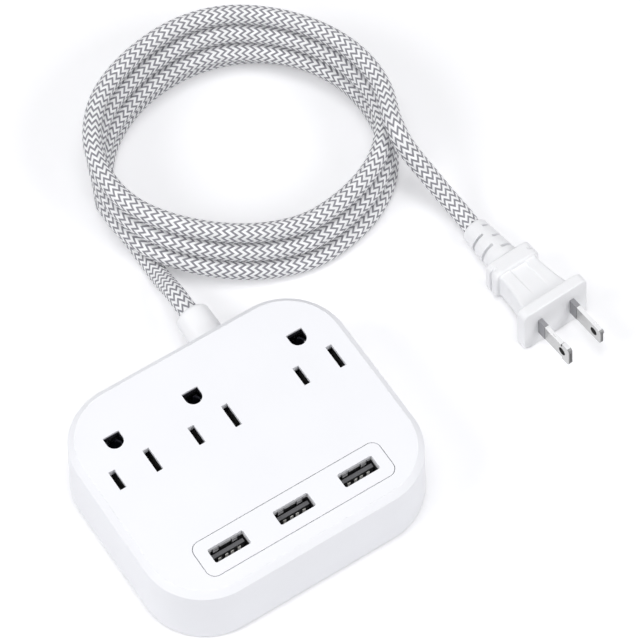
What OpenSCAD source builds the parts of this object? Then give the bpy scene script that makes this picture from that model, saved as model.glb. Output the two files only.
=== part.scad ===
// Desk power strip: three earthed outlets and three USB ports in a low rounded housing,
// with a braided mains cord lying in a coil and a moulded plug with two flat blades.
// Millimetres. The origin is on the table under the middle of the housing: +X runs along
// the outlets to the right, +Y to the back, where the cord leaves, and +Z up.

/* [Housing] */
// Width of the housing, along the row of outlets
body_w = 99; // [96:0.5:120]
// Depth of the housing, from the USB side to the cord side
body_d = 83; // [80:0.5:100]
// Height of the housing without its feet
body_h = 26.4; // [26:0.2:32]
// Corner radius, seen from above
corner_r = 21.7; // [16:0.1:24]
// Radius of the edge round the top face
top_round = 2.5; // [1:0.1:4]
// Radius of the edge round the underside
bottom_round = 0.7; // [0.3:0.1:1.2]
// How much each side leans in from the bottom to the top
draft = 0.8; // [0.2:0.1:1.2]
// Thickness of the side walls
wall = 2.2; // [1.6:0.1:2.8]
// Thickness of the top face
top_t = 2.5; // [1.8:0.1:3]
// Thickness of the base cover
base_t = 2.5; // [2.2:0.1:3]
// Gap round the base cover
base_fit = 0.15; // [0.1:0.05:0.3]
// Outer diameter of the screw bosses
boss_d = 6.5; // [5.5:0.1:7]
// Distance of the back bosses from the middle, along the width
back_boss_x = 30; // [26:0.5:32]
// Distance of the back bosses from the inside of the back wall
back_boss_in = 5; // [4.5:0.1:5.4]
// Distance of the front bosses from the inside of the side walls
front_boss_in = 7; // [5:0.1:8]
// Distance of the front bosses from the middle, towards the front
front_boss_y = 12; // [10:0.5:14]

/* [Screws and feet] */
// Diameter of the housing screws' shanks
screw_d = 2.6; // [2:0.1:3]
// Length of the housing screws under the head
screw_l = 11; // [8:0.5:14]
// Diameter of the housing screws' heads
screw_head_d = 5; // [4.4:0.1:5.4]
// Height of the housing screws' heads
screw_head_h = 1.3; // [1:0.1:1.5]
// Clearance round a screw's shank and head
screw_fit = 0.1; // [0.05:0.05:0.2]
// Diameter of a rubber foot
foot_d = 9; // [7:0.5:10]
// How far the feet stand below the base cover
foot_h = 1; // [0.6:0.1:2]
// Depth of a foot's seat in the base cover
foot_seat = 0.6; // [0.4:0.1:1]
// Distance of the feet from the middle, along the width
foot_x = 33; // [28:0.5:35]
// Distance of the feet from the middle, along the depth
foot_y = 25; // [20:0.5:26]

/* [Outlets] */
// Distance of the outer outlets from the ends of the housing
outlet_end_in = 16; // [15:0.1:17]
// Place of the middle outlet along the width
middle_outlet_x = -5; // [-6:0.5:6]
// Distance of the blade slots from the back of the housing
outlet_back_in = 31; // [30:0.1:32]
// Distance between the two blade slots of an outlet
blade_gap = 12.7; // [12.6:0.1:12.8]
// Width of a blade slot
slot_w = 2.2; // [1.9:0.05:2.4]
// Length of the hot slot
hot_slot_l = 7.1; // [6.8:0.1:7.4]
// Length of the neutral slot
neutral_slot_l = 8.7; // [8.3:0.1:8.9]
// Distance of the earth pin from the blade line
earth_back = 11.9; // [11.8:0.1:12]
// Width of the earth hole
earth_w = 5.7; // [5.2:0.1:6]
// Depth of the earth hole, from its flat edge to its round one
earth_l = 5.3; // [5:0.1:5.6]
// Distance of the earth hole's flat edge from the pin's axis
earth_flat = 2.6; // [2.5:0.1:2.8]

/* [Contacts] */
// Thickness of the contact strips
strip_t = 0.8; // [0.6:0.1:1]
// Width of the contact strips
strip_w = 3.5; // [3:0.1:3.8]
// Distance of the blade strips from the blade line
strip_off = 6.25; // [6:0.05:6.5]
// Distance of the earth strip from the earth pins
earth_strip_off = 4.8; // [4.6:0.1:5.2]
// Width of the earth strip
earth_strip_w = 2.8; // [2.4:0.1:3.2]
// Thickness of a contact leaf
leaf_t = 0.5; // [0.4:0.05:0.7]
// Gap between a clip's two leaves at their waist
leaf_gap = 1.3; // [1:0.1:1.4]
// Bore of an earth clip
earth_clip_d = 4.6; // [4.4:0.1:4.7]
// Gap between the contacts and the underside of the top face
contact_gap = 1.9; // [1.5:0.1:2.4]
// Thickness of the holder plate under the contacts
holder_t = 3; // [2.5:0.1:3.5]
// Height of the contacts above the holder plate
contact_h = 9; // [8:0.1:10]
// Diameter of the holder's legs
holder_leg_d = 5; // [4:0.1:6]

/* [USB ports] */
// Distance between two USB ports
usb_pitch = 23.4; // [22.5:0.1:24.5]
// Distance of the USB ports from the front of the housing
usb_front_in = 14.2; // [13.8:0.1:15]
// Width of a port's mouth
usb_w = 12.6; // [12.5:0.05:12.8]
// Depth of a port's mouth
usb_d = 5.2; // [5.1:0.05:5.4]
// Thickness of a port's metal shell
usb_shell_t = 0.3; // [0.25:0.05:0.35]
// Height of a port's shell above the board
usb_shell_h = 13.4; // [13:0.1:14]
// Thickness of the lip over a port's shell
usb_lip = 1; // [0.6:0.1:1.4]
// Thickness of a port's tongue
tongue_t = 1.84; // [1.7:0.02:1.9]
// Width of a port's tongue
tongue_w = 11.1; // [10.8:0.1:11.3]
// How far the tongue lies off the middle of its port, towards the back
tongue_off = 0.95; // [0.8:0.05:1]
// How far the tongue ends below the mouth of its shell
tongue_sunk = 1; // [0.6:0.1:1.6]
// Distance of the two spring tabs from the middle of their port
spring_x = 3.4; // [3:0.1:4]
// Width of a spring tab
spring_w = 2.2; // [1.6:0.1:2.6]
// Length of a spring tab
spring_l = 4.6; // [3.5:0.1:5]
// How far a spring tab's end leans into its port
spring_lean = 0.45; // [0.3:0.05:0.5]
// Margin of the USB panel beside the outer ports
panel_margin = 4; // [3:0.1:5]
// Depth of the USB panel
panel_d = 13; // [12:0.1:14]
// Corner radius of the USB panel
panel_r = 3; // [2:0.1:4]
// Gap round the USB panel
panel_fit = 0.2; // [0.1:0.05:0.3]
// Width of the panel's hidden flange
flange_w = 1.5; // [1:0.1:1.8]
// Thickness of the panel's hidden flange
flange_t = 1.2; // [0.8:0.1:1.4]

/* [Charger board] */
// Width of the charger board
board_w = 66; // [64:0.5:70]
// Thickness of the charger board
board_t = 1.6; // [1.2:0.1:2]
// Corner radius of the charger board
board_r = 5; // [4:0.5:6]
// Gap between the board and the front wall
board_front_gap = 1.5; // [1:0.1:2]
// Gap between the board and the contact holder
board_back_gap = 2.5; // [2:0.1:3]
// Diameter of the posts under the board
post_d = 5; // [4:0.1:5.5]
// Diameter of the board screws' shanks
board_screw_d = 1.8; // [1.6:0.1:2]
// Diameter of the board screws' heads
board_screw_head_d = 3.6; // [3:0.1:4]
// Diameter of the mains capacitor
bulk_d = 8; // [6.3:0.1:9]
// Height of the mains capacitor
bulk_h = 10.5; // [8:0.1:11]
// Diameter of the output capacitor
output_d = 6.3; // [5:0.1:7]
// Height of the output capacitor
output_h = 9; // [7:0.1:10.5]
// Width of the transformer's core
core_w = 16; // [14:0.1:17]
// Height of the transformer's core
core_h = 10.5; // [9:0.1:11]
// Thickness of the transformer's core
core_t = 5; // [4:0.1:6]
// Diameter of the surge disc
surge_d = 9; // [7:0.1:9.5]
// Thickness of the surge disc
surge_t = 4; // [3:0.1:4.5]

/* [Cord] */
// Diameter of the braided cord
cord_d = 6.5; // [6.3:0.05:6.6]
// Air between two turns of the coil
turn_gap = 0.55; // [0.5:0.05:1]
// Diameter of the cord sleeve outside the housing
gland_d = 12; // [11:0.1:13]
// Length of the cord sleeve outside the housing
gland_l = 13.8; // [12:0.1:14]
// Rounding of the cord sleeve's free end
gland_round = 1.6; // [1:0.1:2]
// Diameter of the cord sleeve's neck in the wall
gland_neck_d = 9; // [8:0.1:10]
// Thickness of the sleeve's flange inside the wall
gland_flange_t = 2; // [1.5:0.1:2.5]
// Place of the cord along the width
gland_x = 14; // [13.5:0.1:14.5]
// Height of the cord's middle where it leaves
gland_z = 13; // [12.8:0.1:13.2]
// Clearance of the cord and of the sleeve's neck in their holes
gland_fit = 0.1; // [0.05:0.05:0.15]
// Diameter of the insulated wires inside
wire_d = 2.2; // [1.8:0.1:2.4]

/* [Plug] */
// Length of the ribbed boot
boot_l = 17.5; // [15:0.5:19]
// Diameter of the boot at the cord
boot_d0 = 9.2; // [8.6:0.1:10]
// Diameter of the boot at the collar
boot_d1 = 11.5; // [11:0.1:12.5]
// Width of a groove in the boot
groove_w = 1.1; // [0.8:0.1:1.3]
// Depth of a groove in the boot
groove_deep = 0.8; // [0.5:0.1:1]
// Length of the collar behind the grip
collar_l = 6; // [5:0.1:7]
// Width of the collar
collar_w = 17.5; // [16.5:0.1:19]
// Height of the collar
collar_h = 12.6; // [12:0.1:12.8]
// Length of the waisted grip
grip_l = 16; // [15:0.1:20]
// Width of the grip at its waist
grip_w0 = 14.4; // [13.5:0.1:16]
// Width of the grip at the front flange
grip_w1 = 19; // [18:0.1:21]
// Height of the grip
grip_h = 10.6; // [10:0.1:11.4]
// Thickness of the front flange
front_t = 4; // [3:0.1:5]
// Width of the front flange
front_w = 25.4; // [24:0.1:27]
// Height of the front flange
front_h = 17.8; // [17:0.1:19]
// Depth of the groove in each end of the collar
rib_deep = 0.7; // [0.4:0.1:1]
// Width of that groove
rib_gap = 0.8; // [0.5:0.1:1.2]
// Depth of the finger hollow in the top and the underside of the grip
hollow_deep = 0.5; // [0.3:0.1:0.8]
// Width of the finger hollow
hollow_w = 7; // [5:0.1:8]
// Length of the finger hollow
hollow_l = 11; // [8:0.1:13]
// Corner radius of the collar and of the front flange
plug_r = 2.5; // [1.5:0.1:3.5]
// Length of the blades in front of the plug's face
blade_l = 15.9; // [15.9:0.1:18]
// Thickness of the blades
blade_t = 1.5; // [1.4:0.05:1.6]
// Width of the blades
blade_w = 6.35; // [6:0.05:6.5]
// Width of the neutral blade's wide tip
neutral_tip_w = 7.95; // [7.6:0.05:8]
// Length of the neutral blade's wide tip
neutral_tip_l = 3.6; // [3:0.1:5]
// Corner radius at a blade's tip
blade_tip_r = 1.2; // [0.8:0.1:1.6]
// Diameter of the hole near a blade's tip
blade_hole_d = 3; // [2.8:0.1:3.4]
// Distance of that hole from the blade's tip
blade_hole_in = 3.6; // [3.2:0.1:5]
// Length of the dark sleeve at a blade's root
sleeve_l = 3.5; // [3:0.1:6]
// Thickness of the dark sleeve
sleeve_t = 0.2; // [0.15:0.05:0.3]
// Clearance round a blade
blade_fit = 0.05; // [0.03:0.01:0.1]

/* [Hidden] */
$fn = 64;
eps = 0.01;
past = 1;

// Heights of the housing, from the table up
z_base = foot_h;
z_floor = z_base + base_t;
z_top = z_base + body_h;
z_roof = z_top - top_t;

// Inside of the housing
skin = wall + draft;
in_w = body_w - 2 * skin;
in_d = body_d - 2 * skin;
in_r = corner_r - skin;
boss_at = [
    for (s = [-1, 1]) [s * back_boss_x, in_d / 2 - back_boss_in],
    for (s = [-1, 1]) [s * (in_w / 2 - front_boss_in), -front_boss_y]
];
foot_at = [for (x = [-foot_x, foot_x], y = [-foot_y, foot_y]) [x, y]];

// Outlets, their slots and their earth holes
outlet_y = body_d / 2 - outlet_back_in;
outlet_xs = [-body_w / 2 + outlet_end_in, middle_outlet_x, body_w / 2 - outlet_end_in];
earth_y = outlet_y + earth_back;
hot_xs = [for (x = outlet_xs) x - blade_gap / 2];
neutral_xs = [for (x = outlet_xs) x + blade_gap / 2];

// Contacts and the plate that carries them
z_contact_top = z_roof - contact_gap;
z_holder = z_contact_top - contact_h;
z_holder_low = z_holder - holder_t;
holder_wall_gap = 3;
holder_w = in_w - 2 * holder_wall_gap;
holder_front_in = 10;
holder_back_in = 6.6;
holder_front = outlet_y - holder_front_in;
holder_back = earth_y + holder_back_in;
holder_r = 4;
holder_leg_in = 3.5;
clip_foot_w = 3.5;
hot_strip_y = outlet_y + strip_off;
neutral_strip_y = outlet_y - strip_off;
earth_strip_y = earth_y + earth_strip_off;
clip_overhang = 0.2;
earth_clip_t = 0.6;
earth_clip_slit = 2.2;
strip_end = 2.2;
fence_t = 1.4;
fence_l = 7;
back_leg_in = 2;

// Solder tabs that go down through the holder plate
tab_w = 3;
tab_fit = 0.25;
wire_room = 0.3;
tab_l = holder_t + wire_d + 2 * wire_room;
hot_tab_in = 13;
neutral_tab_in = 25;
hot_tab_x = outlet_xs[2] - hot_tab_in;
neutral_tab_x = outlet_xs[2] - neutral_tab_in;
z_tab_low = z_holder - tab_l;
z_wire_run = z_holder_low - wire_d / 2 - wire_room;

// Charger board and what stands on it
usb_y = -body_d / 2 + usb_front_in;
usb_xs = [-usb_pitch, 0, usb_pitch];
z_shell_top = z_top - usb_lip;
z_board = z_shell_top - usb_shell_h;
z_board_low = z_board - board_t;
board_front = -in_d / 2 + board_front_gap;
board_back = holder_front - board_back_gap;
board_mid_y = (board_front + board_back) / 2;
post_in = 3.5;
post_at = [
    for (s = [-1, 1]) [s * (board_w / 2 - post_in), board_back - post_in],
    for (s = [-1, 1]) [s * usb_pitch / 2, board_front + post_in]
];
board_screw_l = 6;
board_screw_head_h = 1.2;
panel_w = 2 * usb_pitch + usb_w + 2 * panel_margin;
shell_w = usb_w + 2 * usb_shell_t - 0.1;
shell_d = usb_d + 2 * usb_shell_t - 0.1;
shell_fit = 0.1;
row_y = (board_back + usb_y + shell_d / 2) / 2;
fuse_off = 4.225;
shell_r = 0.6;

// Cord sleeve and the cord's way in
wall_y = body_d / 2;
gland_in = in_d / 2;
gland_seat = 0.1;
cord_in_y = gland_in - gland_flange_t - 2.4;
gland_end = wall_y + gland_l;
wire_off = 1.5;

// Where the cord lies and how its coil is laid: three loops and a half, piled on each other and
// leaning back. Each loop lies level and climbs one layer at the near left, over the lead.
cord_lie = cord_d / 2 + 0.05;
coil_yaw = -33;
coil_a = 47.2;
coil_b = 40.3;
coil_mid = [-1.1, 114.3];
coil_lean = [-1, 2.6];
layer_h = cord_d + turn_gap;
coil_from = -0.02;
coil_to = 3.475;
coil_steps = 24;
coil_sides = 6;
climb_from = 0.65;
climb_over = 0.19;
cord_sides = 10;
lead_route = [
    [14.1, 60.5, 12.5], [14.5, 65.5, 11], [15, 70.5, 8.2], [15.5, 75.5, 5.4],
    [15.9, 80.5, 3.8], [16.1, 86, 3.3], [16, 95, 3.3], [15.6, 104, 3.3]
];
tail_route = [
    [103.9, 72.7, 24], [103.5, 68.5, 22.4], [104.1, 64.7, 19.9], [105.2, 61.2, 17],
    [106.5, 57.7, 14], [107.7, 54.2, 11.1], [108.8, 50.4, 8.6], [109.8, 46, 6.7], [110.5, 41.3, 5.4]
];

// The plug lies on the edge of its boot's mouth and on its front flange
plug_xy = [110.8, 36.4];
plug_yaw = -87.5;
collar_end = boot_l + collar_l;
grip_end = collar_end + grip_l;
plug_face = grip_end + front_t;
plug_pitch = atan((front_h - boot_d0) / 2 / grip_end);
plug_z = boot_d0 / 2 * cos(plug_pitch) + 0.05;
plug_at = [plug_xy[0], plug_xy[1], plug_z];
plug_axis = [cos(plug_pitch) * cos(plug_yaw), cos(plug_pitch) * sin(plug_yaw), sin(plug_pitch)];
cord_in_boot = 6;
left_grooves = [6.2, 11.5];
right_grooves = [3.2, 8.6, 14];
groove_bridge = 0.8;
blade_tip = plug_face + blade_l;
blade_root = grip_end - 7;
bridge_l = 5;
bridge_end = plug_face - 1;
bridge_w = blade_gap + 3;
bridge_h = grip_h - 2.2;
bridge_fit = 0.1;

sides = ["left", "middle", "right"];

// Flat rectangle with round corners, about its middle
module rounded_rect(w, d, r) {
    square([w - 2 * r, d], center = true);
    square([w, d - 2 * r], center = true);
    for (x = [-1, 1], y = [-1, 1])
        translate([x * (w / 2 - r), y * (d / 2 - r)]) circle(r);
}

// Upright block on a rounded rectangle
module rounded_block(w, d, r, z0, z1) {
    translate([0, 0, z0]) linear_extrude(z1 - z0) rounded_rect(w, d, r);
}

// Carries a half section round a rectangle with round corners. The section's x counts outwards
// from the corner's centre and its y is the height.
module carry_round(w, d, r) {
    cx = w / 2 - r;
    cy = d / 2 - r;
    corners = [[cx, cy], [-cx, cy], [-cx, -cy], [cx, -cy]];
    for (k = [0:3])
        translate(corners[k]) rotate(90 * k) rotate_extrude(angle = 90) children();
    for (turn = [0, 180]) rotate(turn) {
        translate([cx, cy, 0]) rotate([90, 0, 0]) linear_extrude(2 * cy) children();
        translate([-cx, cy, 0]) rotate([90, 0, 90]) linear_extrude(2 * cx) children();
    }
}

// Section of the housing's skin: a leaning side between the round bottom edge and the round top
// edge, which it meets smoothly
module skin_section() {
    low = [corner_r - bottom_round, z_base + bottom_round];
    high = [corner_r - draft - top_round, z_top - top_round];
    run = high - low;
    lean = atan2(run[1], run[0]) - acos((bottom_round - top_round) / norm(run));
    out = [cos(lean), sin(lean)];
    polygon([
        [0, z_base], [low[0], z_base], low + bottom_round * out,
        high + top_round * out, [high[0], z_top], [0, z_top]
    ]);
    translate(low) circle(bottom_round);
    translate(high) circle(top_round);
}

module housing_solid() {
    carry_round(body_w, body_d, corner_r) skin_section();
    translate([-body_w / 2 + corner_r, -body_d / 2 + corner_r, z_base])
        cube([body_w - 2 * corner_r, body_d - 2 * corner_r, body_h]);
}

// Earth hole: round towards the blades and flat at the back
module earth_hole() {
    flat_y = earth_y + earth_flat;
    round_y = flat_y - earth_l + earth_w / 2;
    translate([-earth_w / 2, round_y]) square([earth_w, flat_y - round_y]);
    intersection() {
        translate([0, round_y]) circle(d = earth_w);
        translate([-earth_w / 2, flat_y - earth_l]) square([earth_w, earth_l]);
    }
}

module outlet_cuts() {
    for (x = hot_xs) translate([x, outlet_y]) square([slot_w, hot_slot_l], center = true);
    for (x = neutral_xs) translate([x, outlet_y]) square([slot_w, neutral_slot_l], center = true);
    for (x = outlet_xs) translate([x, 0]) earth_hole();
}

// Round bar along +Y
module bar_y(d, y0, y1) {
    translate([gland_x, y0, gland_z]) rotate([-90, 0, 0]) cylinder(d = d, h = y1 - y0);
}

module top_cover() {
    color("white") difference() {
        union() {
            difference() {
                housing_solid();
                rounded_block(in_w, in_d, in_r, z_base - past, z_roof);
            }
            for (p = boss_at) translate([p[0], p[1], z_floor])
                cylinder(d = boss_d, h = z_roof - z_floor + eps);
        }
        for (p = boss_at) translate([p[0], p[1], z_floor - past])
            cylinder(d = screw_d + 2 * screw_fit, h = screw_l + past);
        translate([0, 0, z_roof - past]) linear_extrude(top_t + 2 * past) outlet_cuts();
        translate([0, usb_y, 0]) rounded_block(
            panel_w + 2 * panel_fit, panel_d + 2 * panel_fit, panel_r + panel_fit,
            z_roof - past, z_top + past
        );
        bar_y(gland_neck_d + 2 * gland_fit, gland_in - past, wall_y + past);
    }
}

module base_cover() {
    color("white") difference() {
        union() {
            rounded_block(in_w - 2 * base_fit, in_d - 2 * base_fit, in_r - base_fit, z_base, z_floor);
            for (p = post_at) translate([p[0], p[1], z_floor - eps])
                cylinder(d = post_d, h = z_board_low - z_floor + eps);
        }
        for (p = boss_at) translate([p[0], p[1], z_base - past]) {
            cylinder(d = screw_d + 4 * screw_fit, h = base_t + 2 * past);
            cylinder(d = screw_head_d + 2 * screw_fit, h = screw_head_h + past);
        }
        for (p = foot_at) translate([p[0], p[1], z_base - past])
            cylinder(d = foot_d + 2 * screw_fit, h = foot_seat + past);
        for (p = post_at) translate([p[0], p[1], z_floor])
            cylinder(d = board_screw_d + 2 * screw_fit, h = z_board_low - z_floor + past);
    }
}

module housing_screws() {
    color("silver") for (p = boss_at) translate([p[0], p[1], z_base]) {
        cylinder(d = screw_head_d, h = screw_head_h);
        cylinder(d = screw_d, h = base_t + screw_l - 1);
    }
}

module rubber_feet() {
    color("dimgray") for (p = foot_at) translate([p[0], p[1], 0]) rotate_extrude() {
        square([foot_d / 2 - foot_h / 2, foot_h + foot_seat]);
        translate([0, foot_h / 2]) square([foot_d / 2, foot_h / 2 + foot_seat]);
        translate([foot_d / 2 - foot_h / 2, foot_h / 2]) circle(foot_h / 2);
    }
}

module usb_panel() {
    color("white") difference() {
        translate([0, usb_y, 0]) {
            rounded_block(panel_w, panel_d, panel_r, z_roof - eps, z_top);
            rounded_block(
                panel_w + 2 * flange_w, panel_d + 2 * flange_w, panel_r + flange_w,
                z_roof - flange_t, z_roof
            );
        }
        for (x = usb_xs) translate([x, usb_y, 0]) {
            rounded_block(usb_w, usb_d, shell_r, z_roof - flange_t - past, z_top + past);
            rounded_block(
                shell_w + 2 * shell_fit, shell_d + 2 * shell_fit, shell_r + shell_fit,
                z_roof - flange_t - past, z_shell_top
            );
        }
    }
}

// Insulating plate that carries the contact strips, on four legs, with fences between the outlets
module contact_holder() {
    plate_d = holder_back - holder_front;
    leg_x = holder_w / 2 - holder_leg_in;
    fence_xs = [for (k = [0, 1]) (outlet_xs[k] + outlet_xs[k + 1]) / 2];
    color("whitesmoke") difference() {
        union() {
            translate([0, (holder_front + holder_back) / 2, 0])
                rounded_block(holder_w, plate_d, holder_r, z_holder_low, z_holder);
            for (x = [-leg_x, leg_x], y = [holder_front + holder_leg_in, earth_y + back_leg_in])
                translate([x, y, z_floor]) cylinder(d = holder_leg_d, h = z_holder_low - z_floor + eps);
            for (x = fence_xs) translate([x - fence_t / 2, outlet_y - fence_l / 2, z_holder - eps])
                cube([fence_t, fence_l, z_roof - z_holder + eps]);
        }
        translate([hot_tab_x, hot_strip_y, 0]) tab_slot();
        translate([neutral_tab_x, neutral_strip_y, 0]) tab_slot();
    }
}

module tab_slot() {
    translate([-tab_w / 2 - tab_fit, -strip_t / 2 - tab_fit, z_holder_low - past])
        cube([tab_w + 2 * tab_fit, strip_t + 2 * tab_fit, holder_t + 2 * past]);
}

// Blade clip about its own middle, on the plate: two springy leaves that pinch at a waist and
// flare at the mouth
module blade_clip(l) {
    waist = (leaf_gap + leaf_t) / 2;
    foot = (clip_foot_w - leaf_t) / 2;
    leaf = [[foot, 0], [foot, contact_h * 0.25], [waist, contact_h * 0.65], [waist + 0.7, contact_h]];
    half = leaf_t / 2;
    translate([0, l / 2, z_holder]) rotate([90, 0, 0]) linear_extrude(l) for (s = [-1, 1])
        polygon(concat(
            [for (p = leaf) [s * (p[0] - half), p[1]]],
            [for (k = [len(leaf) - 1:-1:0]) [s * (leaf[k][0] + half), leaf[k][1]]]
        ));
}

// Strip along the outlets with a clip at each slot and a solder tab through the plate
module blade_bus(xs, strip_y, clip_l, tab_x) {
    toward = sign(outlet_y - strip_y);
    reach = abs(outlet_y - strip_y) + clip_l / 2;
    x0 = min(xs[0], tab_x) - clip_foot_w / 2;
    x1 = max(xs[2], tab_x) + clip_foot_w / 2;
    translate([x0, strip_y - strip_w / 2, z_holder]) cube([x1 - x0, strip_w, strip_t]);
    for (x = xs) {
        translate([x, outlet_y, 0]) blade_clip(clip_l);
        translate([x - clip_foot_w / 2, toward > 0 ? strip_y : strip_y - reach, z_holder])
            cube([clip_foot_w, reach, strip_t]);
    }
    translate([tab_x - tab_w / 2, strip_y - strip_t / 2, z_tab_low]) cube([tab_w, strip_t, tab_l + eps]);
}

module hot_bus() {
    color("goldenrod") blade_bus(hot_xs, hot_strip_y, hot_slot_l - clip_overhang, hot_tab_x);
}

module neutral_bus() {
    color("goldenrod") blade_bus(neutral_xs, neutral_strip_y, neutral_slot_l - clip_overhang, neutral_tab_x);
}

// One strip that links the three earth clips, each a slit tube round the earth pin
module earth_strip() {
    clip_od = earth_clip_d + 2 * earth_clip_t;
    color("goldenrod") {
        translate([outlet_xs[0] - clip_od / 2, earth_strip_y - earth_strip_w / 2, z_holder])
            cube([outlet_xs[2] - outlet_xs[0] + clip_od, earth_strip_w, strip_t]);
        for (x = outlet_xs) translate([x, earth_y, z_holder]) {
            difference() {
                cylinder(d = clip_od, h = contact_h);
                translate([0, 0, strip_t]) cylinder(d = earth_clip_d, h = contact_h);
                translate([-earth_clip_slit / 2, -clip_od, strip_t])
                    cube([earth_clip_slit, 2 * clip_od, contact_h]);
            }
            translate([-strip_end / 2, 0, 0]) cube([strip_end, earth_strip_y - earth_y, strip_t]);
        }
    }
}

module usb_board() {
    color("darkgreen") difference() {
        translate([0, board_mid_y, 0])
            rounded_block(board_w, board_back - board_front, board_r, z_board_low, z_board);
        for (p = post_at) translate([p[0], p[1], z_board_low - past])
            cylinder(d = board_screw_d + 2 * screw_fit, h = board_t + 2 * past);
    }
}

module board_screws() {
    color("silver") for (p = post_at) translate([p[0], p[1], z_board]) {
        cylinder(d = board_screw_head_d, h = board_screw_head_h);
        translate([0, 0, -board_screw_l]) cylinder(d = board_screw_d, h = board_screw_l + eps);
    }
}

// Metal shell of one port, open upwards, with two spring tabs stamped out of its back wall. A tab
// hangs from its root near the mouth and leans in on the way down.
module usb_shell(x) {
    z_root = z_shell_top - 1.8;
    slit = 0.4;
    inside = shell_d / 2 - usb_shell_t;
    color("silver") translate([x, usb_y, 0]) {
        difference() {
            rounded_block(shell_w, shell_d, shell_r, z_board, z_shell_top);
            rounded_block(
                shell_w - 2 * usb_shell_t, shell_d - 2 * usb_shell_t, shell_r - usb_shell_t,
                z_board - past, z_shell_top + past
            );
            for (s = [-1, 1]) translate([s * spring_x - spring_w / 2 - slit, 0, z_root - spring_l - slit])
                cube([spring_w + 2 * slit, shell_d, spring_l + slit]);
        }
        for (s = [-1, 1]) translate([s * spring_x - spring_w / 2, inside, z_root])
            rotate([90, 0, 90]) linear_extrude(spring_w) polygon([
                [0, eps], [usb_shell_t, eps], [usb_shell_t, -0.5],
                [usb_shell_t - spring_lean, -spring_l], [-spring_lean, -spring_l], [0, -0.5]
            ]);
    }
}

// Insulating tongue of one port on the foot that closes the shell
module usb_tongue(x) {
    foot_fit = 0.05;
    foot_w = shell_w - 2 * usb_shell_t - 2 * foot_fit;
    foot_d2 = shell_d - 2 * usb_shell_t - 2 * foot_fit;
    color("gainsboro") translate([x, usb_y, z_board]) {
        translate([-foot_w / 2 + shell_r, -foot_d2 / 2, 0]) cube([foot_w - 2 * shell_r, foot_d2, 3]);
        translate([-tongue_w / 2, tongue_off - tongue_t / 2, 0])
            cube([tongue_w, tongue_t, usb_shell_h - tongue_sunk]);
    }
}

// Four contact strips on the tongue's near face
module usb_contacts(x) {
    contact_xs = [-3.5, -1, 1, 3.5];
    contact_w = 1;
    contact_t = 0.2;
    foot_h2 = 3;
    color("gold") for (c = contact_xs)
        translate([x + c - contact_w / 2, usb_y + tongue_off - tongue_t / 2 - contact_t, z_board + foot_h2])
            cube([contact_w, contact_t, usb_shell_h - tongue_sunk - foot_h2 - 0.5]);
}

// Ferrite core: two windows beside a middle leg
module transformer_core() {
    leg = core_w / 4;
    window_w = (core_w - 2 * leg) / 2;
    window_h = core_h - leg;
    color("dimgray") translate([-5, row_y + core_t / 2, z_board]) rotate([90, 0, 0])
        linear_extrude(core_t) difference() {
            translate([-core_w / 2, 0]) square([core_w, core_h]);
            for (s = [-1, 1]) translate([s * (leg + window_w) / 2 - window_w / 2, leg / 2])
                square([window_w, window_h]);
        }
}

// Bobbin with its winding round the core's middle leg
module transformer_bobbin() {
    leg = core_w / 4;
    window_w = (core_w - 2 * leg) / 2;
    fit = 0.1;
    outer_w = leg + 2 * window_w - 2 * fit - leg / 2;
    outer_d = core_t + 7;
    h = core_h - leg - 2 * fit;
    color("khaki") translate([-5, row_y, z_board + leg / 2 + fit]) difference() {
        translate([-outer_w / 2, -outer_d / 2, 0]) cube([outer_w, outer_d, h]);
        translate([-leg / 2 - fit, -core_t / 2 - fit, -past])
            cube([leg + 2 * fit, core_t + 2 * fit, h + 2 * past]);
    }
}

// Upright can with a crimped waist
module can(d, h) {
    crimp = 0.4;
    rotate_extrude() difference() {
        square([d / 2, h]);
        translate([d / 2, h * 0.16]) circle(crimp);
    }
}

module bulk_capacitor() {
    color("midnightblue") translate([-20.5, row_y, z_board]) can(bulk_d, bulk_h);
}

module output_capacitor() {
    color("midnightblue") translate([9.5, row_y, z_board]) can(output_d, output_h);
}

module fuse() {
    color("darkred") translate([19.5, row_y + fuse_off, 0])
        rounded_block(8.4, 4, 1, z_board, z_board + 8);
}

// Coated disc that takes the surges, on its two leads
module surge_disc() {
    lead_d = 0.8;
    lead_x = surge_d / 4;
    stand = 1;
    color("royalblue") translate([20.5, row_y - 3.4, z_board]) {
        translate([0, surge_t / 2, stand + surge_d / 2]) rotate([90, 0, 0])
            cylinder(d = surge_d, h = surge_t);
        for (s = [-1, 1]) translate([s * lead_x, 0, 0]) cylinder(d = lead_d, h = stand + surge_d / 2);
    }
}

module rectifier() {
    color("black") translate([-29, row_y - 3.2, 0]) rounded_block(6.4, 4.6, 0.4, z_board, z_board + 2.4);
}

module control_chip() {
    color("black") translate([2, board_front + 4, 0]) rounded_block(5, 4, 0.3, z_board, z_board + 1.6);
}

// Points between the route's own, on one smooth curve through them. The first and the last of
// the points only steer the ends.
function between(a, b, c, d, u) = 0.5 * (
    2 * b + (c - a) * u + (2 * a - 5 * b + 4 * c - d) * u * u + (3 * b - a - 3 * c + d) * u * u * u
);
function smooth_route(p, n) = [
    for (i = [1:len(p) - 3]) for (k = [0:n - 1]) between(p[i - 1], p[i], p[i + 1], p[i + 2], k / n),
    p[len(p) - 2]
];

// Tube along a path, with flat ends square to its first and last stretch
function unit(v) = v / norm(v);
function heading(path, i) = unit(path[min(i + 1, len(path) - 1)] - path[max(i - 1, 0)]);
function ring(c, along, up, d, n) =
    let (side = unit(cross(along, up)), over = cross(side, along))
    [for (k = [0:n - 1]) c + d / 2 * (cos(360 * (k + 0.5) / n) * side + sin(360 * (k + 0.5) / n) * over)];

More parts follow.
